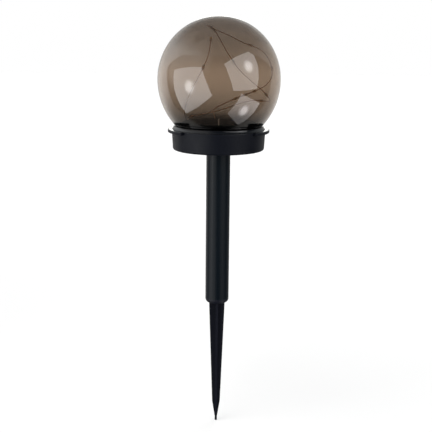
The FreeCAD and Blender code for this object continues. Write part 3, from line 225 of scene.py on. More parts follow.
class Effects:
    """Surface effects that several materials share, each built once as a node group."""

    RELIEF = {"Height": Socket.NUMBER, "Variation": Socket.NUMBER}
    FINE_SHARE = 0.3
    MARK_STRETCH: Point = (1.0, 1.0, 0.015)
    MARK_SHARE = 0.6
    BROAD_PITCH = 0.18
    PATCH_SCALE = 140.0
    PATCHES: Span = (0.42, 0.72)
    SPECK_SCALE = 2600.0
    SPECKS: Span = (0.66, 0.74)
    FACING_UP: Span = (0.35, 0.95)
    DUST_COLOUR: Colour = (0.42, 0.40, 0.37)

    def __init__(self) -> None:
        """Build the groups."""
        self.grain = self._grain()
        self.marks = self._marks()
        self.dust = self._dust()
        self.tint = self._tint()

    def _grain(self) -> NodeTree:
        """Spark-eroded grain over slow clouds.

        Returns:
            The group.
        """
        effect = Effect("moulded_grain", {"Pitch": 1800.0, "Clouds": 60.0}, self.RELIEF)
        tree, given = effect.tree, effect.given
        place = tree.place()
        fine = tree.noise(place, given["Pitch"], detail=2.0, roughness=0.6)
        clouds = tree.noise(place, given["Clouds"], detail=4.0, roughness=0.5)
        both = tree.plus(tree.times(fine, self.FINE_SHARE), tree.times(clouds, 1 - self.FINE_SHARE))
        return effect.give(Height=fine, Variation=both)

    def _marks(self) -> NodeTree:
        """Long fine marks that run up and down, as a drawn or ejected piece has them.

        Returns:
            The group.
        """
        effect = Effect("draw_marks", {"Pitch": 900.0}, self.RELIEF)
        tree, pitch = effect.tree, effect.given["Pitch"]
        place = tree.stretch(tree.place(), self.MARK_STRETCH)
        fine = tree.noise(place, pitch, detail=3.0, roughness=0.6)
        broad = tree.noise(place, tree.times(pitch, self.BROAD_PITCH), detail=2.0, roughness=0.5)
        both = tree.plus(tree.times(fine, self.MARK_SHARE), tree.times(broad, 1 - self.MARK_SHARE))
        return effect.give(Height=both, Variation=broad)

    def _dust(self) -> NodeTree:
        """Dust in patches and specks on faces that look up.

        Returns:
            The group.
        """
        effect = Effect("settled_dust", {"Amount": 0.2}, {"Mask": Socket.NUMBER})
        tree = effect.tree
        up = tree.dot(tree.add("NewGeometry").outputs["Normal"], (0.0, 0.0, 1.0))
        place = tree.place()
        patches = tree.ramp(tree.noise(place, self.PATCH_SCALE, detail=5.0, roughness=0.65), *self.PATCHES)
        specks = tree.ramp(tree.noise(place, self.SPECK_SCALE, detail=1.0, roughness=0.5), *self.SPECKS)
        cover = tree.times(tree.ramp(up, *self.FACING_UP), tree.math("MAXIMUM", patches, specks))
        return effect.give(Mask=tree.times(cover, effect.given["Amount"]))

    def _tint(self) -> NodeTree:
        """A colour a little darker and lighter from place to place, with pale dust over it.

        Returns:
            The group.
        """
        usual = {"Colour": (0.5, 0.5, 0.5), "Variation": 0.5, "Dust": 0.0, "Spread": 0.3}
        effect = Effect("tint_variation", usual, {"Colour": Socket.COLOUR})
        tree, given = effect.tree, effect.given
        share = tree.times(tree.math("SUBTRACT", given["Variation"], 0.5), given["Spread"])
        scaled = tree.scale(given["Colour"], tree.plus(1.0, share))
        return effect.give(Colour=tree.blend(given["Dust"], scaled, self.DUST_COLOUR))


# --- finishes

def new_material(name: str) -> tuple[Material, Tree, Node]:
    """Make a material.

    Args:
        name: its name.

    Returns:
        The material, its nodes and its shader.
    """
    material = bpy.data.materials.new(name)
    material.use_nodes = True
    return material, Tree(material.node_tree), material.node_tree.nodes["Principled BSDF"]


@dataclass(frozen=True)
class Finish:
    """One finish of the light, as its colour, sheen and surface texture.

    Its grain is the texture's scale per metre, its depth the relief in millimetres, and its nodes the
    CAD nodes that it dresses.
    """

    name: str
    colour: Colour
    sheen: Sheen = Sheen.MOULDED
    spread: float = 0.3
    roughness_spread: float = 0.12
    smoothest: float = 0.02
    variation: Span = (0.3, 0.7)
    grain: float = 1800.0
    depth: float = 0.02
    drawn: bool = False
    dust: float = 0.0
    metallic: float = 0.0
    specular: float = 0.5
    ior: float = 1.5
    transmission: float = 0.0
    alpha: float = 1.0
    nodes: tuple[str, ...] = ()

    def build(self, effects: Effects) -> Material:
        """Make the material.

        Args:
            effects: the shared node groups.

        Returns:
            The material.
        """
        material, tree, shader = new_material(self.name + SUFFIX)
        texture = tree.group(effects.marks if self.drawn else effects.grain, Pitch=self.grain)
        given = {"Colour": self.colour, "Spread": self.spread, "Variation": texture["Variation"]}
        if self.dust > 0.0:
            given["Dust"] = tree.group(effects.dust, Amount=self.dust)["Mask"]
        low = max(self.smoothest, self.sheen.value - self.roughness_spread / 2)
        tree.bump(shader, texture["Height"], self.depth * MM)
        tree.feed(shader, {
            "Base Color": tree.group(effects.tint, **given)["Colour"],
            "Roughness": tree.ramp(texture["Variation"], *self.variation, low, low + self.roughness_spread),
            "Metallic": self.metallic,
            "Specular IOR Level": self.specular,
            "IOR": self.ior,
            "Transmission Weight": self.transmission,
            "Alpha": self.alpha,
        })
        return material


FINISHES = (
    Finish("black_gloss", (0.0025, 0.003, 0.0042), Sheen.POLISHED, grain=2600.0, depth=0.0006,
        roughness_spread=0.05, dust=0.02, specular=0.2),
    Finish("black_moulded", (0.0021, 0.0026, 0.0044), grain=2400.0, depth=0.006, dust=0.02, specular=0.05,
        nodes=("base_housing",)),
    Finish("black_pole", (0.0014, 0.0027, 0.0042), Sheen.SATIN, grain=1400.0, depth=0.004, drawn=True,
        specular=0.055, nodes=("pole_tube",)),
    Finish("black_spike", (0.0022, 0.0026, 0.0052), grain=1600.0, depth=0.012, drawn=True, spread=0.4,
        specular=0.09, nodes=("ground_spike",)),
    Finish("black_plate", (0.0026, 0.0026, 0.0032), Sheen.MATT, specular=0.018, dust=0.006,
        nodes=("top_plate",)),
    Finish("clear_adhesive", (0.22, 0.20, 0.18), Sheen.GLOSSY, grain=700.0, depth=0.05, transmission=0.6,
        ior=1.45, nodes=("neck_adhesive",)),
    Finish("black_rubber", (0.006, 0.006, 0.006), Sheen.MATT, grain=3000.0, specular=0.2,
        nodes=("seal_ring", "wire_grommet")),
    Finish("pad_foam", (0.62, 0.60, 0.55), Sheen.MATT, grain=3200.0, depth=0.05, nodes=("panel_pad",)),
    Finish("board_green", (0.012, 0.085, 0.035), grain=500.0, depth=0.008, spread=0.6, specular=0.1,
        nodes=("control_board", "panel_board")),
    # The tin is light grey; the blue cast in the ribbon's colour is a painted reflection of a bluish soft
    # panel.
    Finish("tinned_ribbon", (0.90, 0.95, 1.0), Sheen.SATIN, spread=0.05, grain=3000.0, depth=0.004,
        nodes=("cell_ribbon",)),
    Finish("clear_resin", (0.012, 0.012, 0.014), Sheen.SATIN, grain=900.0, depth=0.01, alpha=0.05,
        roughness_spread=0.06, specular=0.1),
    Finish("copper_wire", (0.60, 0.37, 0.25), Sheen.SATIN, spread=0.5, grain=900.0, depth=0.01, metallic=0.4,
        nodes=("string_tail",)),
    Finish("screw_steel", (0.62, 0.62, 0.60), Sheen.SATIN, metallic=1.0, grain=2200.0, depth=0.004,
        nodes=("plate_screws", "board_screws")),
    Finish("chip_black", (0.018, 0.018, 0.019), Sheen.MATT, grain=4200.0, depth=0.008,
        nodes=("driver_chip",)),
    Finish("ferrite", (0.040, 0.040, 0.044), Sheen.MATT, grain=2600.0, nodes=("inductor",)),
    Finish("capacitor_sleeve", (0.015, 0.020, 0.055), Sheen.GLOSSY, grain=800.0, depth=0.004,
        nodes=("capacitor",)),
    Finish("switch_black", (0.022, 0.022, 0.024), grain=2800.0, depth=0.006, nodes=("switch_body",)),
    Finish("button_grey", (0.035, 0.036, 0.038), grain=2600.0, depth=0.01, nodes=("switch_button",)),
    Finish("battery_sleeve", (0.05, 0.22, 0.11), Sheen.GLOSSY, grain=600.0, depth=0.004,
        nodes=("battery_cell",)),
    Finish("spring_steel", (0.70, 0.69, 0.66), Sheen.GLOSSY, metallic=1.0, grain=2600.0, depth=0.003,
        nodes=("contact_positive", "contact_negative")),
    Finish("lead_insulation", (0.26, 0.020, 0.018), Sheen.SATIN, depth=0.004,
        nodes=("panel_leads", "battery_leads")),
    Finish("lamp_chip", (0.80, 0.46, 0.06), Sheen.MATT, grain=3000.0, depth=0.004),
    Finish("lamp_resin", (0.82, 0.62, 0.36), Sheen.POLISHED, grain=900.0, depth=0.004, transmission=0.85,
        roughness_spread=0.04),
)


@dataclass(frozen=True)
class SmokedPlastic:
    """Clear brown plastic of the globe: each pass of its wall takes out a share of the light.

    Its shade stops are heights in metres, with the share of the light that the tint leaves there; below 1 the
    tint is painted shade. It is deepest at the neck and the crown, and greyer at the crown as painted shade.
    """

    name: str = "smoked_plastic"
    clear: Colour = (0.482, 0.401, 0.328)
    # Painted shade: the crown colour is a greyer, darker tint from the crown span up.
    crown: Colour = (0.442, 0.382, 0.330)
    crown_shade_span: Span = (0.250, 0.276)
    # Painted shade: each stop below 1 darkens the tint at that height, most at the neck and the crown.
    shade_stops: tuple[Pair, ...] = (
        (0.184, 0.12), (0.1855, 0.19), (0.188, 0.39), (0.1915, 0.53), (0.195, 0.60), (0.198, 0.68),
        (0.2015, 0.76), (0.205, 0.79), (0.211, 0.88), (0.220, 0.97), (0.226, 1.0), (0.232, 1.0),
        (0.238, 0.97), (0.242, 0.90), (0.247, 0.85), (0.256, 0.82), (0.263, 0.78), (0.271, 0.80),
        (0.277, 0.73), (0.286, 0.70))
    cloud_scale: float = 34.0
    cloud_shift: float = 0.004
    smear_scale: float = 55.0
    smear_stretch: Point = (1.0, 1.0, 2.4)
    roughness: Span = (0.45, 0.8, 0.012, 0.035)
    ripple_scale: float = 26.0
    ripple: float = 0.00008
    ior: float = 1.49

    def _smoke_and_shade(self, tree: Tree, height: Output) -> Output:
        """The share that the smoke's painted shade leaves at a height.

        Args:
            tree: the material's nodes.
            height: the height's socket.

        Returns:
            The share's socket, as a grey.
        """
        low, high = self.shade_stops[0][0], self.shade_stops[-1][0]
        along = tree.math("DIVIDE", tree.math("SUBTRACT", height, low), high - low, clamp=True)
        smoke_shade = tree.add("ValToRGB", {0: along})
        band = smoke_shade.color_ramp
        while len(band.elements) < len(self.shade_stops):
            band.elements.new(0.5)
        for element, (level, share) in zip(band.elements, self.shade_stops):
            element.position = (level - low) / (high - low)
            element.color = (share, share, share, 1.0)
        return smoke_shade.outputs[0]

    def build(self) -> Material:
        """Make the material, with the tint painted deeper towards the crown and the neck as painted shade.

        Returns:
            The material.
        """
        material, tree, shader = new_material(self.name + SUFFIX)
        place = tree.place()
        clouds = tree.noise(place, self.cloud_scale, detail=3.0, roughness=0.5)
        shift = tree.times(tree.math("SUBTRACT", clouds, 0.5), self.cloud_shift)
        height = tree.plus(tree.split(place)["Z"], shift)
        # Painted shade: the tint turns to the greyer crown colour high up.
        brown = tree.blend(tree.ramp(height, *self.crown_shade_span), self.clear, self.crown)
        stretched = tree.stretch(place, self.smear_stretch)
        smears = tree.noise(stretched, self.smear_scale, detail=6.0, roughness=0.6)
        tree.bump(shader, tree.noise(place, self.ripple_scale, detail=1.0, roughness=0.4), self.ripple)
        tree.feed(shader, {
            # Painted shade: the tint is multiplied by the shade stops' share at each height.
            "Base Color": tree.blend(1.0, brown, self._smoke_and_shade(tree, height), "MULTIPLY"),
            "Roughness": tree.ramp(smears, *self.roughness),
            "Transmission Weight": 1.0,
            "IOR": self.ior,
        })
        return material


@dataclass(frozen=True)
class CellGlaze:
    """Dark solar cell with fine printed fingers across it."""

    name: str = "cell_silicon"
    colour: Colour = (0.003, 0.004, 0.010)
    finger: Colour = (0.20, 0.20, 0.24)
    pitch: float = 0.0019
    width: float = 0.05
    crystal_scale: float = 190.0
    crystal_shade: Span = (0.0, 1.0, 0.7, 1.5)
    roughness: Span = (0.0, 1.0, 0.42, 0.55)
    specular: float = 0.008
    relief: float = 0.00002
    nodes: tuple[str, ...] = ("solar_cells",)

    def build(self) -> Material:
        """Make the material.

        Returns:
            The material.
        """
        material, tree, shader = new_material(self.name + SUFFIX)
        place = tree.place()
        phase = tree.math("FRACT", tree.times(tree.split(place)["Y"], 1.0 / self.pitch))
        lines = tree.math("LESS_THAN", phase, self.width)
        crystals = tree.add("TexVoronoi", {"Scale": self.crystal_scale, "Vector": place})
        level = tree.ramp(crystals.outputs["Distance"], *self.crystal_shade)
        silicon = tree.add("HueSaturation", {"Color": self.colour, "Value": level})
        tree.bump(shader, lines, self.relief)
        tree.feed(shader, {
            "Base Color": tree.blend(lines, silicon.outputs[0], self.finger),
            "Roughness": tree.ramp(lines, *self.roughness),
            "Specular IOR Level": self.specular,
        })
        return material


# --- mesh helpers

def arc(centre: Pair, radius: float, start: float, end: float, steps: int) -> Profile:
    """Points along an arc.

    Args:
        centre: its centre.
        radius: its radius.
        start: the first direction, in degrees.
        end: the last direction, in degrees.
        steps: how many pieces it has.

    Returns:
        The points, both ends among them.
    """
    angles = [math.radians(start + (end - start) * step / steps) for step in range(steps + 1)]
    return [(centre[0] + radius * math.cos(angle), centre[1] + radius * math.sin(angle)) for angle in angles]


def link(name: str, data: bpy.types.ID) -> Object:
    """Make an object of a mesh, curve, camera or lamp.

    Args:
        name: the object's name.
        data: what it shows.

    Returns:
        The object, linked to the scene.
    """
    thing = bpy.data.objects.new(name, data)
    bpy.context.scene.collection.objects.link(thing)
    return thing


def hide_from(thing: Object, *rays: str) -> None:
    """Hide an object from kinds of ray, such as glossy ones."""
    for ray in rays:
        setattr(thing, "visible_" + ray, False)


def shade(data: Mesh, sharp: float) -> None:
    """Shade a mesh smooth, apart from edges above an angle in degrees."""
    data.polygons.foreach_set("use_smooth", [True] * len(data.polygons))
    data.set_sharp_from_angle(angle=math.radians(sharp))


def finish_mesh(name: str, mesh: BMesh, sharp: float = SHARP) -> Object:
    """Turn built geometry into a shaded object.

    Args:
        name: the object's name.
        mesh: the geometry, which is freed.
        sharp: the angle above which an edge stays sharp, in degrees.

    Returns:
        The object, linked to the scene.
    """
    bmesh.ops.remove_doubles(mesh, verts=mesh.verts, dist=WELD)
    bmesh.ops.recalc_face_normals(mesh, faces=mesh.faces)
    data = bpy.data.meshes.new(name)
    mesh.to_mesh(data)
    mesh.free()
    shade(data, sharp)
    return link(name, data)


def sweep(mesh: BMesh, section: Profile, angles: Sequence[float],
          closed: bool) -> list[list[BMVert]]:
    """Sweep a closed section, in millimetres, round the vertical axis.

    Args:
        mesh: the geometry that it is added to.
        section: radius and height of each point, in order round the section.
        angles: the directions that it passes through, in radians.
        closed: whether it comes back to the first one.

    Returns:
        The section's vertices at each direction.
    """
    rings = [[mesh.verts.new((r * math.cos(turn) * MM, r * math.sin(turn) * MM, z * MM)) for r, z in section]
             for turn in angles]
    for ring, following in zip(rings, rings[1:] + (rings[:1] if closed else [])):
        for index in range(len(section)):
            after = (index + 1) % len(section)
            if section[index][0] < TINY and section[after][0] < TINY:
                continue
            mesh.faces.new((ring[index], following[index], following[after], ring[after]))
    return rings


def lathe(name: str, profile: Profile, segments: int, sharp: float) -> Object:
    """Turn a closed profile, in millimetres, all round the vertical axis.

    Args:
        name: the object's name.
        profile: radius and height of each point, in order round the section.
        segments: how many steps there are round the axis.
        sharp: the angle above which an edge stays sharp, in degrees.

    Returns:
        The turned object.
    """
    mesh = bmesh.new()
    sweep(mesh, profile, [2 * math.pi * step / segments for step in range(segments)], True)
    bmesh.ops.remove_doubles(mesh, verts=mesh.verts, dist=FINE_WELD)
    bmesh.ops.dissolve_degenerate(mesh, dist=TINY, edges=mesh.edges)
    return finish_mesh(name, mesh, sharp)


def sector(name: str, section: Profile, middle: float, half: float, steps: int) -> Object:
    """Sweep a closed section, in millimetres, part of the way round the vertical axis.

    Args:
        name: the object's name.
        section: radius and height of each point.
        middle: the direction of its middle, in degrees.
        half: how far it reaches to each side, in degrees.
        steps: how many steps the sweep has.

    Returns:
        The swept object with closed ends.
    """
    mesh = bmesh.new()
    start, end = middle - half, middle + half
    angles = [math.radians(start + (end - start) * step / steps) for step in range(steps + 1)]
    rings = sweep(mesh, section, angles, False)
    mesh.faces.new(rings[0])
    mesh.faces.new(list(reversed(rings[-1])))
    return finish_mesh(name, mesh)


def round_edges(thing: Object, width: float) -> Object:
    """Round an object's sharp edges, and keep the result as its mesh.

    Args:
        thing: the object.
        width: the rounding's width, in millimetres.

    Returns:
        The same object.
    """
    bevel = thing.modifiers.new("rounding", "BEVEL")
    bevel.width = width * MM
    bevel.segments = ROUNDING_STEPS
    bevel.limit_method = "ANGLE"
    bevel.angle_limit = math.radians(SHARP)
    bpy.context.view_layer.update()
    shaped = bpy.data.meshes.new_from_object(thing.evaluated_get(bpy.context.evaluated_depsgraph_get()))
    thing.modifiers.clear()
    thing.data = shaped
    shade(shaped, SHARP_ROUNDED)
    return thing


def join_pieces(name: str, things: Sequence[Object]) -> Object:
    """Make one object of several that are moulded in one piece.

    Args:
        name: the new object's name.
        things: the objects, which are removed.

    Returns:
        The joined object.
    """
    mesh = bmesh.new()
    materials = []
    for thing in things:
        first = len(mesh.faces)
        mesh.from_mesh(thing.data)
        mesh.faces.ensure_lookup_table()
        for face in mesh.faces[first:]:
            face.material_index += len(materials)
        materials += [material for material in thing.data.materials if material]
    data = bpy.data.meshes.new(name)
    mesh.to_mesh(data)
    mesh.free()
    for material in materials:
        data.materials.append(material)
    shade(data, SHARP_JOINED)
    for thing in things:
        bpy.data.objects.remove(thing)
    return link(name, data)


def dress(thing: Object, materials: dict[str, Material], body: Body, slot: str, node: str) -> Object:
    """Give a piece its material and the body it rides on, and hide the CAD node that it stands for.

    Args:
        thing: the piece.
        materials: the materials by name, of which it takes its slot's where it has none.
        body: what it rides on.
        slot: the record's material slot.
        node: the CAD node that it stands for.

    Returns:
        The piece.
    """
    if not thing.data.materials:
        thing.data.materials.append(materials[slot])
    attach(thing, body.value)
    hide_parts(node)
    LOG.info("piece %s rides on %s", thing.name, body.value)
    return thing


# --- studio

@dataclass(frozen=True)
class Camera:
    """The photograph's camera: its place in metres, its pitch in degrees and its lens in millimetres."""

    place: Point = (-0.00175, -0.8847, 0.2860)
    pitch: float = 12.5
    roll: float = 0.0095
    lens: float = 75.0
    sensor: float = 36.0
    nearest: float = 0.01

    def build(self) -> None:
        """Make the camera and use it."""
        data = bpy.data.cameras.new("camera")
        data.lens = self.lens
        data.sensor_width = self.sensor
        data.clip_start = self.nearest
        camera = link("camera", data)
        tilt = math.radians(self.pitch)
        ahead = Vector((0.0, math.cos(tilt), -math.sin(tilt)))
        above = Vector((0.0, math.sin(tilt), math.cos(tilt)))
        right = Vector((1.0, 0.0, 0.0))
        across = (right + above * self.roll).normalized()
        upwards = (above - right * self.roll).normalized()
        matrix = Matrix((across, upwards, -ahead)).transposed().to_4x4()
        matrix.translation = Vector(self.place)
        camera.matrix_world = matrix
        bpy.context.scene.camera = camera


@dataclass(frozen=True)
class SoftPanel:
    """A flat soft light of the studio, given by the directions of its corners, in order round it.

    It is brighter round its centre, by extra, within the cosine that reach gives, and less bright low down.
    """

    corners: tuple[Point, ...]
    strength: float
    centre: Point
    extra: float
    reach: float
    colour: Colour = (1.0, 1.0, 1.0)
    edge: Span = (-0.006, 0.010)
    fall: Span = (-0.92, -0.45, 0.40, 1.0)
    power: float = 4.5

    def lay(self, tree: Tree, view: Output, colour: Output) -> Output:
        """Lay the panel over the world's colour.

        Args:
            tree: the world's nodes.
            view: the direction's socket.
            colour: the colour's socket.

        Returns:
            The new colour's socket.
        """
        corners = [Vector(corner).normalized() for corner in self.corners]
        middle = sum(corners, Vector()).normalized()
        insides = []
        for first, second in zip(corners, corners[1:] + corners[:1]):
            across = first.cross(second).normalized()
            if across.dot(middle) < 0:
                across.negate()
            insides.append(tree.ramp(tree.dot(view, tuple(across)), *self.edge))
        centre = tuple(Vector(self.centre).normalized())
        near = tree.math("POWER", tree.ramp(tree.dot(view, centre), self.reach, 1.0), self.power)
        level = tree.times(tree.ramp(tree.split(view)["Z"], *self.fall), self.strength)
        glow = tree.scale(self.colour, tree.plus(level, tree.times(near, self.extra)))
        return tree.blend(functools.reduce(tree.times, insides), colour, glow)


PANELS = (
    SoftPanel(
        corners=((-0.980, 0.063, 0.188), (-0.517, -0.753, 0.406), (-0.196, -0.902, -0.385),
                 (-0.724, -0.026, -0.689)),
        strength=4.5, centre=(-0.826, -0.541, -0.158), extra=7.6, reach=0.952),
    SoftPanel(
        corners=((0.148, -0.841, 0.520), (0.715, -0.164, 0.679), (0.824, -0.088, 0.559),
                 (0.969, -0.191, 0.155), (0.952, -0.254, -0.174), (0.433, -0.865, -0.254)),
        strength=3.7, centre=(0.796, -0.465, 0.387), extra=7.6, reach=0.960),
    SoftPanel(
        corners=((0.650, -0.693, -0.313), (0.888, 0.048, -0.457), (0.435, -0.007, -0.900),
                 (0.236, -0.565, -0.791)),
        strength=3.8, centre=(0.635, -0.330, -0.690), extra=7.0, reach=0.966, colour=(1.0, 0.97, 0.98)),
)


@dataclass(frozen=True)
class Studio:
    """White surroundings behind the light, a dim room in front of it, three soft panels and a pale floor.

    A Span here is over the cosine between a direction and an axis, or over metres on the floor.
    """

    ahead: Point = (0.0, 0.976, -0.216)
    upward: Point = (0.0, 0.216, 0.976)
    walls: Colour = (1.0, 0.985, 0.965)
    walls_above: Span = (0.0, 0.78, 0.68, 0.18)
    walls_below: Span = (0.0, -0.55, 0.68, 0.42)
    level_above: Span = (0.85, 0.50)
    level_below: Span = (-0.42, -0.06)
    level_gain: Span = (0.0, 0.3, 1.1, 1.5)
    left: Span = (-0.25, -0.92)
    right: Span = (0.35, 0.95, 0.0, 0.22)
    ceiling: Colour = (0.90, 1.0, 1.08)
    ceiling_rise: Span = (0.2, 0.7)
    room: Colour = (0.030, 0.031, 0.034)
    room_edge: Span = (-0.05, 0.06)
    room_above: Span = (0.24, 0.62, 0.36, -0.20)
    room_below: Span = (-0.40, -0.70, 0.0, 0.15)
    roof_axis: Point = (0.0, 0.27, 1.0)
    roof: Span = (0.51, 0.58)
    side: Colour = (1.6, 1.5, 1.38)
    side_axis: Point = (-0.835, -0.23, 0.50)
    side_span: Span = (0.58, 0.95)
    side_loss: float = 0.5
    overhead: Colour = (0.22, 0.22, 0.22)
    overhead_front: Span = (-0.14, -0.02)
    overhead_back: Span = (0.33, 0.24)
    overhead_rise: Span = (0.78, 0.88)
    pool: Colour = (2.8, 2.8, 2.7)
    pool_axis: Point = (0.0, 0.9916, 0.1294)
    pool_span: Span = (0.9950, 0.9985)
    floor_height: float = -0.1315
    floor_radius: float = 6.0
    floor_colour: Colour = (0.36, 0.36, 0.36)
    floor_glow: Span = (0.40, 1.7, 0.44, 0.72)
    lamps: tuple[tuple[str, Point, float], ...] = (
        ("lamp_above", (-0.45, -0.50, 1.30), 14.0), ("lamp_behind", (0.50, 0.80, 0.90), 9.0))
    lamp_size: float = 0.9
    lamp_aim: Point = (0.0, 0.0, 0.12)

    def _backdrop(self, tree: Tree, view: Output) -> Output:
        """The backdrop's colour: brightest level with the light, and brighter on the left.

        Args:
            tree: the world's nodes.
            view: the direction's socket.

        Returns:
            The colour's socket.
        """
        across, rise = tree.split(view)["X"], tree.dot(view, self.upward)
        higher = tree.ramp(rise, *self.walls_above, kind="LINEAR")
        lower = tree.ramp(rise, *self.walls_below, kind="LINEAR")
        near = tree.times(tree.ramp(rise, *self.level_above), tree.ramp(rise, *self.level_below))
        near = tree.times(near, tree.ramp(rise, *self.level_gain))
        extra = tree.times(tree.plus(tree.ramp(across, *self.left), tree.ramp(across, *self.right)), near)
        glow = tree.scale(self.walls, tree.plus(tree.math("MINIMUM", higher, lower), extra))
        cool = tree.blend(1.0, glow, self.ceiling, "MULTIPLY")
        return tree.blend(tree.ramp(rise, *self.ceiling_rise), glow, cool)

    def _surroundings(self, tree: Tree, view: Output) -> Output:
        """The colour all round: backdrop, dim room, bright side, grey overhead and bright pool.

        Args:
            tree: the world's nodes.
            view: the direction's socket.

        Returns:
            The colour's socket.
        """
        parts = tree.split(view)
        rise = tree.dot(view, self.upward)
        colour = self._backdrop(tree, view)
        limit = tree.math("SUBTRACT", tree.ramp(rise, *self.room_above), tree.ramp(rise, *self.room_below))
        behind = tree.ramp(tree.math("SUBTRACT", tree.dot(view, self.ahead), limit), *self.room_edge)
        behind = tree.math("MAXIMUM", behind, tree.ramp(tree.dot(view, self.roof_axis), *self.roof))
        side = tree.ramp(tree.dot(view, self.side_axis), *self.side_span)
        side = tree.times(side, tree.math("SUBTRACT", 1.0, tree.times(behind, self.side_loss)))
        colour = tree.blend(side, tree.blend(behind, self.room, colour), self.side, "ADD")
        above = tree.ramp(parts["Y"], *self.overhead_front)
        above = tree.times(above, tree.ramp(parts["Y"], *self.overhead_back))
        above = tree.times(above, tree.ramp(parts["Z"], *self.overhead_rise))
        colour = tree.blend(above, colour, self.overhead)
        return tree.blend(tree.ramp(tree.dot(view, self.pool_axis), *self.pool_span), colour, self.pool)

    def _world(self) -> None:
        """Build the world: white to the camera and through glass, the studio to everything else."""
        world = bpy.data.worlds.new("studio")
        bpy.context.scene.world = world
        world.use_nodes = True
        world.node_tree.nodes.clear()
        tree = Tree(world.node_tree)
        view = tree.add("TexCoord").outputs["Generated"]
        colour = self._surroundings(tree, view)
        for panel in PANELS:
            colour = panel.lay(tree, view, colour)
        studio = tree.add("Background", {"Color": colour})
        white = tree.add("Background", {"Color": (1.0, 1.0, 1.0)})
        path = tree.add("LightPath").outputs
        seen = tree.math("MAXIMUM", path["Is Camera Ray"], path["Is Transmission Ray"])
        both = tree.add("MixShader", {0: seen, 1: studio.outputs[0], 2: white.outputs[0]})
        tree.add("OutputWorld", {"Surface": both.outputs[0]})

    def _floor_material(self) -> Material:
        """The floor's material, which glows more with distance and is clear from underneath.

        Returns:
            The material.
        """
        material, tree, _ = new_material("pale_floor")
        material.node_tree.nodes.clear()
        matte = tree.add("BsdfDiffuse", {"Color": self.floor_colour})
        reach = tree.add("VectorMath", {0: tree.place()}, operation="LENGTH").outputs["Value"]
        glow = tree.add("Emission", {"Strength": tree.ramp(reach, *self.floor_glow)})
        both = tree.add("AddShader", {0: matte.outputs[0], 1: glow.outputs[0]})
        clear = tree.add("BsdfTransparent")
        under = tree.add("NewGeometry").outputs["Backfacing"]
        sided = tree.add("MixShader", {0: under, 1: both.outputs[0], 2: clear.outputs[0]})
        tree.add("OutputMaterial", {"Surface": sided.outputs[0]})
        return material

    def _floor(self) -> None:
        """Lay the pale floor, which takes the shadow and is left out of reflections."""
        mesh = bmesh.new()
        bmesh.ops.create_circle(mesh, cap_ends=True, segments=96, radius=self.floor_radius)
        floor = finish_mesh("floor", mesh)
        floor.location.z = self.floor_height
        hide_from(floor, "glossy", "transmission", "diffuse", "shadow")
        floor.data.materials.append(self._floor_material())

    def _lamp(self, name: str, place: Point, power: float) -> None:
        """Hang one soft lamp that looks at the globe and leaves no mirror image.

        Args:
            name: the lamp's name.
            place: where it hangs.
            power: its power in watts.
        """
        data = bpy.data.lights.new(name, "AREA")
        data.size = self.lamp_size
        data.energy = power
        lamp = link(name, data)
        lamp.location = place
        aim = Vector(self.lamp_aim) - Vector(place)
        lamp.rotation_euler = aim.to_track_quat("-Z", "Y").to_euler()
        hide_from(lamp, "glossy", "camera", "transmission")

    def build(self) -> None:
        """Build the world, the floor and the lamps."""
        bpy.context.scene.view_settings.view_transform = "Standard"
        self._world()
        self._floor()
        for name, place, power in self.lamps:
            self._lamp(name, place, power)


# --- globe

@dataclass
class Globe:
    """The smoked globe, with its sizes in millimetres above the ground line."""

    materials: dict[str, Material]
    middle: float = 225.8
    radius: float = 60.0
    rise: float = 60.9
    shift: float = 6.0
    wall: float = 1.8
    neck_radius: float = 41.0
    neck_end: float = 176.3
    lower_steps: int = 36
    upper_steps: int = 30

    def _half(self, inset: float) -> Profile:
        """One face of the wall, from the neck's end up to the crown.

        Args:
            inset: how far inside the outer face it lies.

        Returns:
            Its points, upwards.
        """
        past = (self.rise - self.radius) / (2 - math.sqrt(2))
        side = self.radius + past - inset
        crown = self.radius + past - past * math.sqrt(2) - inset
        lower = self.radius + self.shift - inset
        neck = self.neck_radius - inset
        start = -math.degrees(math.acos((neck + self.shift) / lower))
        points = [(neck, self.neck_end)]
        points += arc((-self.shift, self.middle), lower, start, 0.0, self.lower_steps)
        points += arc((-past, self.middle), side, 0.0, 45.0, self.upper_steps)[1:]
        points += arc((0.0, self.middle + past), crown, 45.0, 90.0, self.upper_steps)[1:]
        points[-1] = (0.0, points[-1][1])
        return points

    def build(self) -> None:
        """Make the globe's closed wall."""
        outline = self._half(0.0) + list(reversed(self._half(self.wall)))
        shell = lathe("globe", outline, segments=192, sharp=60.0)
        dress(shell, self.materials, Body.GLOBE, "smoked_plastic", "globe_shell")


# --- collar

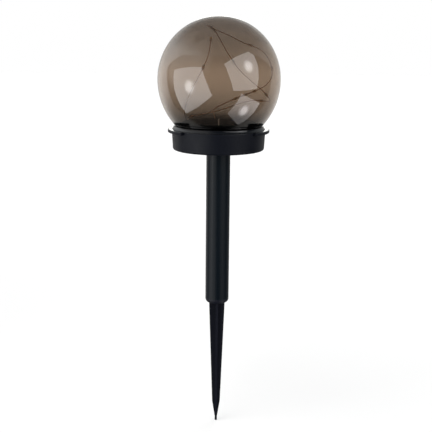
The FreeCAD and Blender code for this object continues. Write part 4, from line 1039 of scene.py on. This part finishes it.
@dataclass
class Collar:
    """The glossy ring with its lip, flange, grip ears, skirt and bayonet lugs, in millimetres.

    The flare is the bore's face round the globe's neck. The ears' and lugs' places are in degrees.
    """

    materials: dict[str, Material]
    rim: float = 175.1
    flange_radius: float = 46.3
    flange: float = 3.0
    flange_inset: float = 0.15
    flange_edge: float = 0.45
    lip: float = 3.1
    lip_top: float = 44.3
    lip_foot: float = 45.3
    lip_edge: float = 0.9
    lip_root: Pair = (0.25, 0.18)
    land: float = 0.25
    flare_centre: Pair = (-6.0, 225.8)
    flare_radius: float = 66.3
    bore: float = 41.3
    ledge_radius: float = 38.9
    ledge: float = 1.2
    skirt_inner: float = 40.5
    skirt_outer: float = 42.2
    skirt: float = 5.9
    ear_inner: float = 43.8
    ear_radius: float = 50.0
    ear_half: float = 44.0
    ear_lift: float = 0.02
    ear_foot: float = 0.5
    ear_edge: float = 0.55
    ear_rounding: float = 0.4
    ear_sides: tuple[float, ...] = (0.0, 180.0)
    lug_outer: float = 43.7
    lug_root: float = 0.6
    lug_height: float = 2.2
    lug_half: float = 10.0
    lug_rounding: float = 0.2
    lug_sides: tuple[float, ...] = (90.0, 210.0, 330.0)
    moulded_beyond: float = 0.3
    wall_slope: float = 0.25
    under_slope: float = -0.5

    def _ring(self) -> Object:
        """The turned ring.

        Returns:
            The ring.
        """
        base, foot = self.rim, self.rim - self.skirt
        top = base + self.flange
        lip_top = top + self.lip
        edge, soft = self.flange_edge, self.lip_edge
        start = -math.degrees(math.acos((self.bore - self.flare_centre[0]) / self.flare_radius))
        flare = arc(self.flare_centre, self.flare_radius, start, 0.0, 200)
        flare = [spot for spot in flare if spot[1] < lip_top]
        section = [(self.skirt_inner, foot), (self.skirt_outer, foot), (self.skirt_outer, base),
                   (self.flange_radius - self.flange_inset, base)]
        section += arc((self.flange_radius - edge, top - edge), edge, 0.0, 90.0, 5)
        section += [(self.lip_foot + self.lip_root[0], top), (self.lip_foot, top + self.lip_root[1])]
        section += arc((self.lip_top - soft, lip_top - soft), soft, 10.0, 90.0, 8)
        section += [(flare[-1][0] + self.land, lip_top)]
        section += list(reversed(flare[::12]))
        section += [(self.bore, base + self.ledge), (self.ledge_radius, base + self.ledge),
                    (self.ledge_radius, base), (self.skirt_inner, base)]
        return lathe("collar_ring", section, segments=160, sharp=40.0)

    def _ears(self) -> list[Object]:
        """The grip ears.

        Returns:
            The ears.
        """
        low, top = self.rim + self.ear_lift, self.rim + self.flange
        foot, edge = self.ear_foot, self.ear_edge
        section = [(self.ear_inner, low), (self.ear_radius - foot, low)]
        section += arc((self.ear_radius - foot, low + foot), foot, -90.0, 0.0, 4)[1:]
        section += arc((self.ear_radius - edge, top - edge), edge, 0.0, 90.0, 5)
        section += [(self.ear_inner, top)]
        return [round_edges(sector("ear", section, side, self.ear_half, 40), self.ear_rounding)
                for side in self.ear_sides]

    def _lugs(self) -> list[Object]:
        """The bayonet lugs.

        Returns:
            The lugs.
        """
        low = self.rim - self.skirt
        top = low + self.lug_height
        root = self.skirt_outer - self.lug_root
        section = [(root, low), (self.lug_outer, low), (self.lug_outer, top), (root, top)]
        return [round_edges(sector("lug", section, side, self.lug_half, 8), self.lug_rounding)
                for side in self.lug_sides]

    def build(self) -> None:
        """Make the collar in one piece, glossy apart from its outer edges."""
        pieces = [self._ring()] + self._ears() + self._lugs()
        whole = join_pieces("collar", pieces)
        dress(whole, self.materials, Body.GLOBE, "black_gloss", "globe_collar")
        whole.data.materials.append(self.materials["black_moulded"])
        for face in whole.data.polygons:
            reach = math.hypot(face.center.x, face.center.y) / MM
            edge = abs(face.normal.z) < self.wall_slope or face.normal.z < self.under_slope
            face.material_index = int(edge and reach > self.lip_foot + self.moulded_beyond)


# --- fairy lights

WIRE_ROUTE: tuple[Point, ...] = (
    (-0.004, 0.029, 0.1846), (-0.004, 0.029, 0.1882), (-0.0068, 0.0316, 0.1912), (-0.005, 0.037, 0.1934),
    (0.001, 0.0423, 0.1966), (0.012, 0.0462, 0.2012), (0.0226, 0.0454, 0.2059), (0.0322, 0.0412, 0.2098),
    (0.0415, 0.0325, 0.2143), (0.049, 0.0195, 0.2204), (0.0532, 0.006, 0.23), (0.0505, 0.007, 0.2435),
    (0.0455, 0.016, 0.2515), (0.037, 0.025, 0.257), (0.0255, 0.034, 0.26), (0.011, 0.033, 0.2675),
    (-0.003, 0.0245, 0.2735), (-0.0125, 0.011, 0.2775), (-0.013, -0.005, 0.278), (-0.007, -0.0185, 0.276),
    (-0.002, -0.032, 0.2695), (0.0035, -0.042, 0.2595), (0.009, -0.0476, 0.2508), (0.017, -0.0502, 0.2392),
    (0.029, -0.0458, 0.2283), (0.0405, -0.036, 0.2188), (0.0475, -0.022, 0.2105), (0.0505, -0.003, 0.2055),
    (0.048, 0.014, 0.2036), (0.038, 0.032, 0.2036), (0.0225, 0.0425, 0.1995), (0.006, 0.0432, 0.193),
    (-0.011, 0.0385, 0.189), (-0.025, 0.0265, 0.1875), (-0.03, 0.0095, 0.1876), (-0.029, -0.009, 0.188),
    (-0.0313, -0.024, 0.1908), (-0.0326, -0.035, 0.199), (-0.0295, -0.0432, 0.2095),
    (-0.0245, -0.0485, 0.2215), (-0.018, -0.0508, 0.2332), (-0.011, -0.049, 0.2475),
    (-0.0086, -0.0435, 0.2576), (-0.008, -0.0365, 0.265),
)
LAMP_RUNS: tuple[int, ...] = (5, 6, 7, 10, 13, 16, 19, 22, 25, 28, 33, 37, 40)


@dataclass
class FairyLights:
    """The free copper wire in the globe, in metres, with its cast lamps, in millimetres."""

    materials: dict[str, Material]
    route: tuple[Point, ...] = WIRE_ROUTE
    lamp_runs: tuple[int, ...] = LAMP_RUNS
    diameter: float = 0.0009
    lamp_radius: float = 1.6
    lamp_half: float = 2.5
    lamp_waist: float = 0.55
    lamp_fill: float = 0.98
    lamp_steps: int = 12
    chip: Point = (1.1, 0.7, 1.7)
    chip_shift: float = 0.75
    chip_edge: float = 0.12
    lamps: list[Object] = field(default_factory=list)

    def _wire(self) -> Object:
        """The wire on one smooth line.

        Returns:
            The wire.
        """
        data = bpy.data.curves.new("fairy_wire_line", "CURVE")
        data.dimensions = "3D"
        data.resolution_u = 10
        data.bevel_depth = self.diameter / 2
        data.bevel_resolution = 4
        data.use_fill_caps = True
        spline = data.splines.new("NURBS")
        spline.points.add(len(self.route) - 1)
        for spot, place in zip(spline.points, self.route):
            spot.co = (*place, 1.0)
        spline.order_u = 3
        spline.use_endpoint_u = True
        return link("fairy_wire_line", data)

    def _drop(self) -> Object:
        """A lamp's drop of resin, full in the middle and drawn in to the wire at its ends.

        Returns:
            The drop.
        """
        half, waist = self.lamp_half, self.lamp_waist
        outline = [(0.0, -half)]
        for step in range(self.lamp_steps + 1):
            share = -1 + 2 * step / self.lamp_steps
            width = waist + (self.lamp_radius - waist) * math.sqrt(max(0.0, 1 - share ** 2))
            outline.append((width, share * half * self.lamp_fill))
        outline.append((0.0, half))
        return lathe("drop", outline, segments=20, sharp=70.0)

    def _chip(self) -> Object:
        """The small block of a lamp's chip, beside the wire.

        Returns:
            The chip.
        """
        mesh = bmesh.new()
        bmesh.ops.create_cube(mesh, size=1.0)
        bmesh.ops.scale(mesh, vec=[side * MM for side in self.chip], verts=mesh.verts)
        bmesh.ops.translate(mesh, vec=(0.0, self.chip_shift * MM, 0.0), verts=mesh.verts)
        bmesh.ops.bevel(mesh, geom=mesh.edges, offset=self.chip_edge * MM, segments=2, affect="EDGES")
        return finish_mesh("chip", mesh)

    def _lamp(self, name: str, middle: Vector, along: Vector) -> None:
        """One lamp: a drop of resin round the wire with a small chip inside it.

        Args:
            name: the lamp's name.
            middle: where it sits.
            along: the wire's direction there.
        """
        drop, chip = self._drop(), self._chip()
        drop.data.materials.append(self.materials["lamp_resin"])
        chip.data.materials.append(self.materials["lamp_chip"])
        lamp = join_pieces(name, [drop, chip])
        turn = along.to_track_quat("Z", "Y").to_matrix().to_4x4()
        lamp.data.transform(Matrix.Translation(middle) @ turn)
        self.lamps.append(dress(lamp, self.materials, Body.HEAD, "lamp_resin", "led_beads"))

    def build(self) -> None:
        wire = dress(self._wire(), self.materials, Body.HEAD, "copper_wire", "fairy_wire")
        points = [Vector(place) for place in self.route]
        for number, run in enumerate(self.lamp_runs, start=1):
            first, second = points[run], points[run + 1]
            self._lamp("lamp_%02d" % number, (first + second) / 2, (second - first).normalized())
        self._lamp("lamp_end", points[-1], (points[-1] - points[-2]).normalized())


# --- solar panel

@dataclass
class PanelResin:
    """The thin clear layer over the solar cells, in millimetres."""

    materials: dict[str, Material]
    side: float = 49.5
    low: float = 184.88
    top: float = 185.25
    corner: float = 0.9
    edge: float = 0.12

    def build(self) -> None:
        """Make the layer with rounded corners and soft edges."""
        reach = self.side / 2 - self.corner
        outline = []
        for number, (x, y) in enumerate(((reach, reach), (-reach, reach), (-reach, -reach), (reach, -reach))):
            outline += arc((x, y), self.corner, 90.0 * number, 90.0 * (number + 1), 6)
        mesh = bmesh.new()
        face = mesh.faces.new([mesh.verts.new((x * MM, y * MM, self.low * MM)) for x, y in outline])
        grown = bmesh.ops.extrude_face_region(mesh, geom=[face])["geom"]
        lifted = [item for item in grown if isinstance(item, BMVert)]
        bmesh.ops.translate(mesh, vec=(0.0, 0.0, (self.top - self.low) * MM), verts=lifted)
        layer = round_edges(finish_mesh("panel_layer", mesh), self.edge)
        dress(layer, self.materials, Body.HEAD, "clear_resin", "panel_resin")


# --- CAD nodes

@dataclass
class CarriedNodes:
    """The CAD nodes that show as they are, each with its own material."""

    materials: dict[str, Material]

    def build(self) -> None:
        """Give each shown CAD node its material."""
        for finish in (*FINISHES, CellGlaze()):
            for node in finish.nodes:
                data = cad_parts[node].data
                data.materials.clear()
                data.materials.append(self.materials[finish.name])
                LOG.info("node %s is %s", node, finish.name)


# --- main


def main() -> None:
    """Build the camera, the studio and the wire, then the other pieces, and dress the CAD nodes."""
    logging.basicConfig(level=logging.INFO, format="%(message)s")
    Camera().build()
    Studio().build()
    effects = Effects()
    materials = {finish.name: finish.build(effects) for finish in FINISHES}
    materials.update({plain.name: plain.build() for plain in (SmokedPlastic(), CellGlaze())})
    for part in (FairyLights, Globe, Collar, PanelResin, CarriedNodes):
        part(materials).build()


if __name__ == "__main__":
    main()
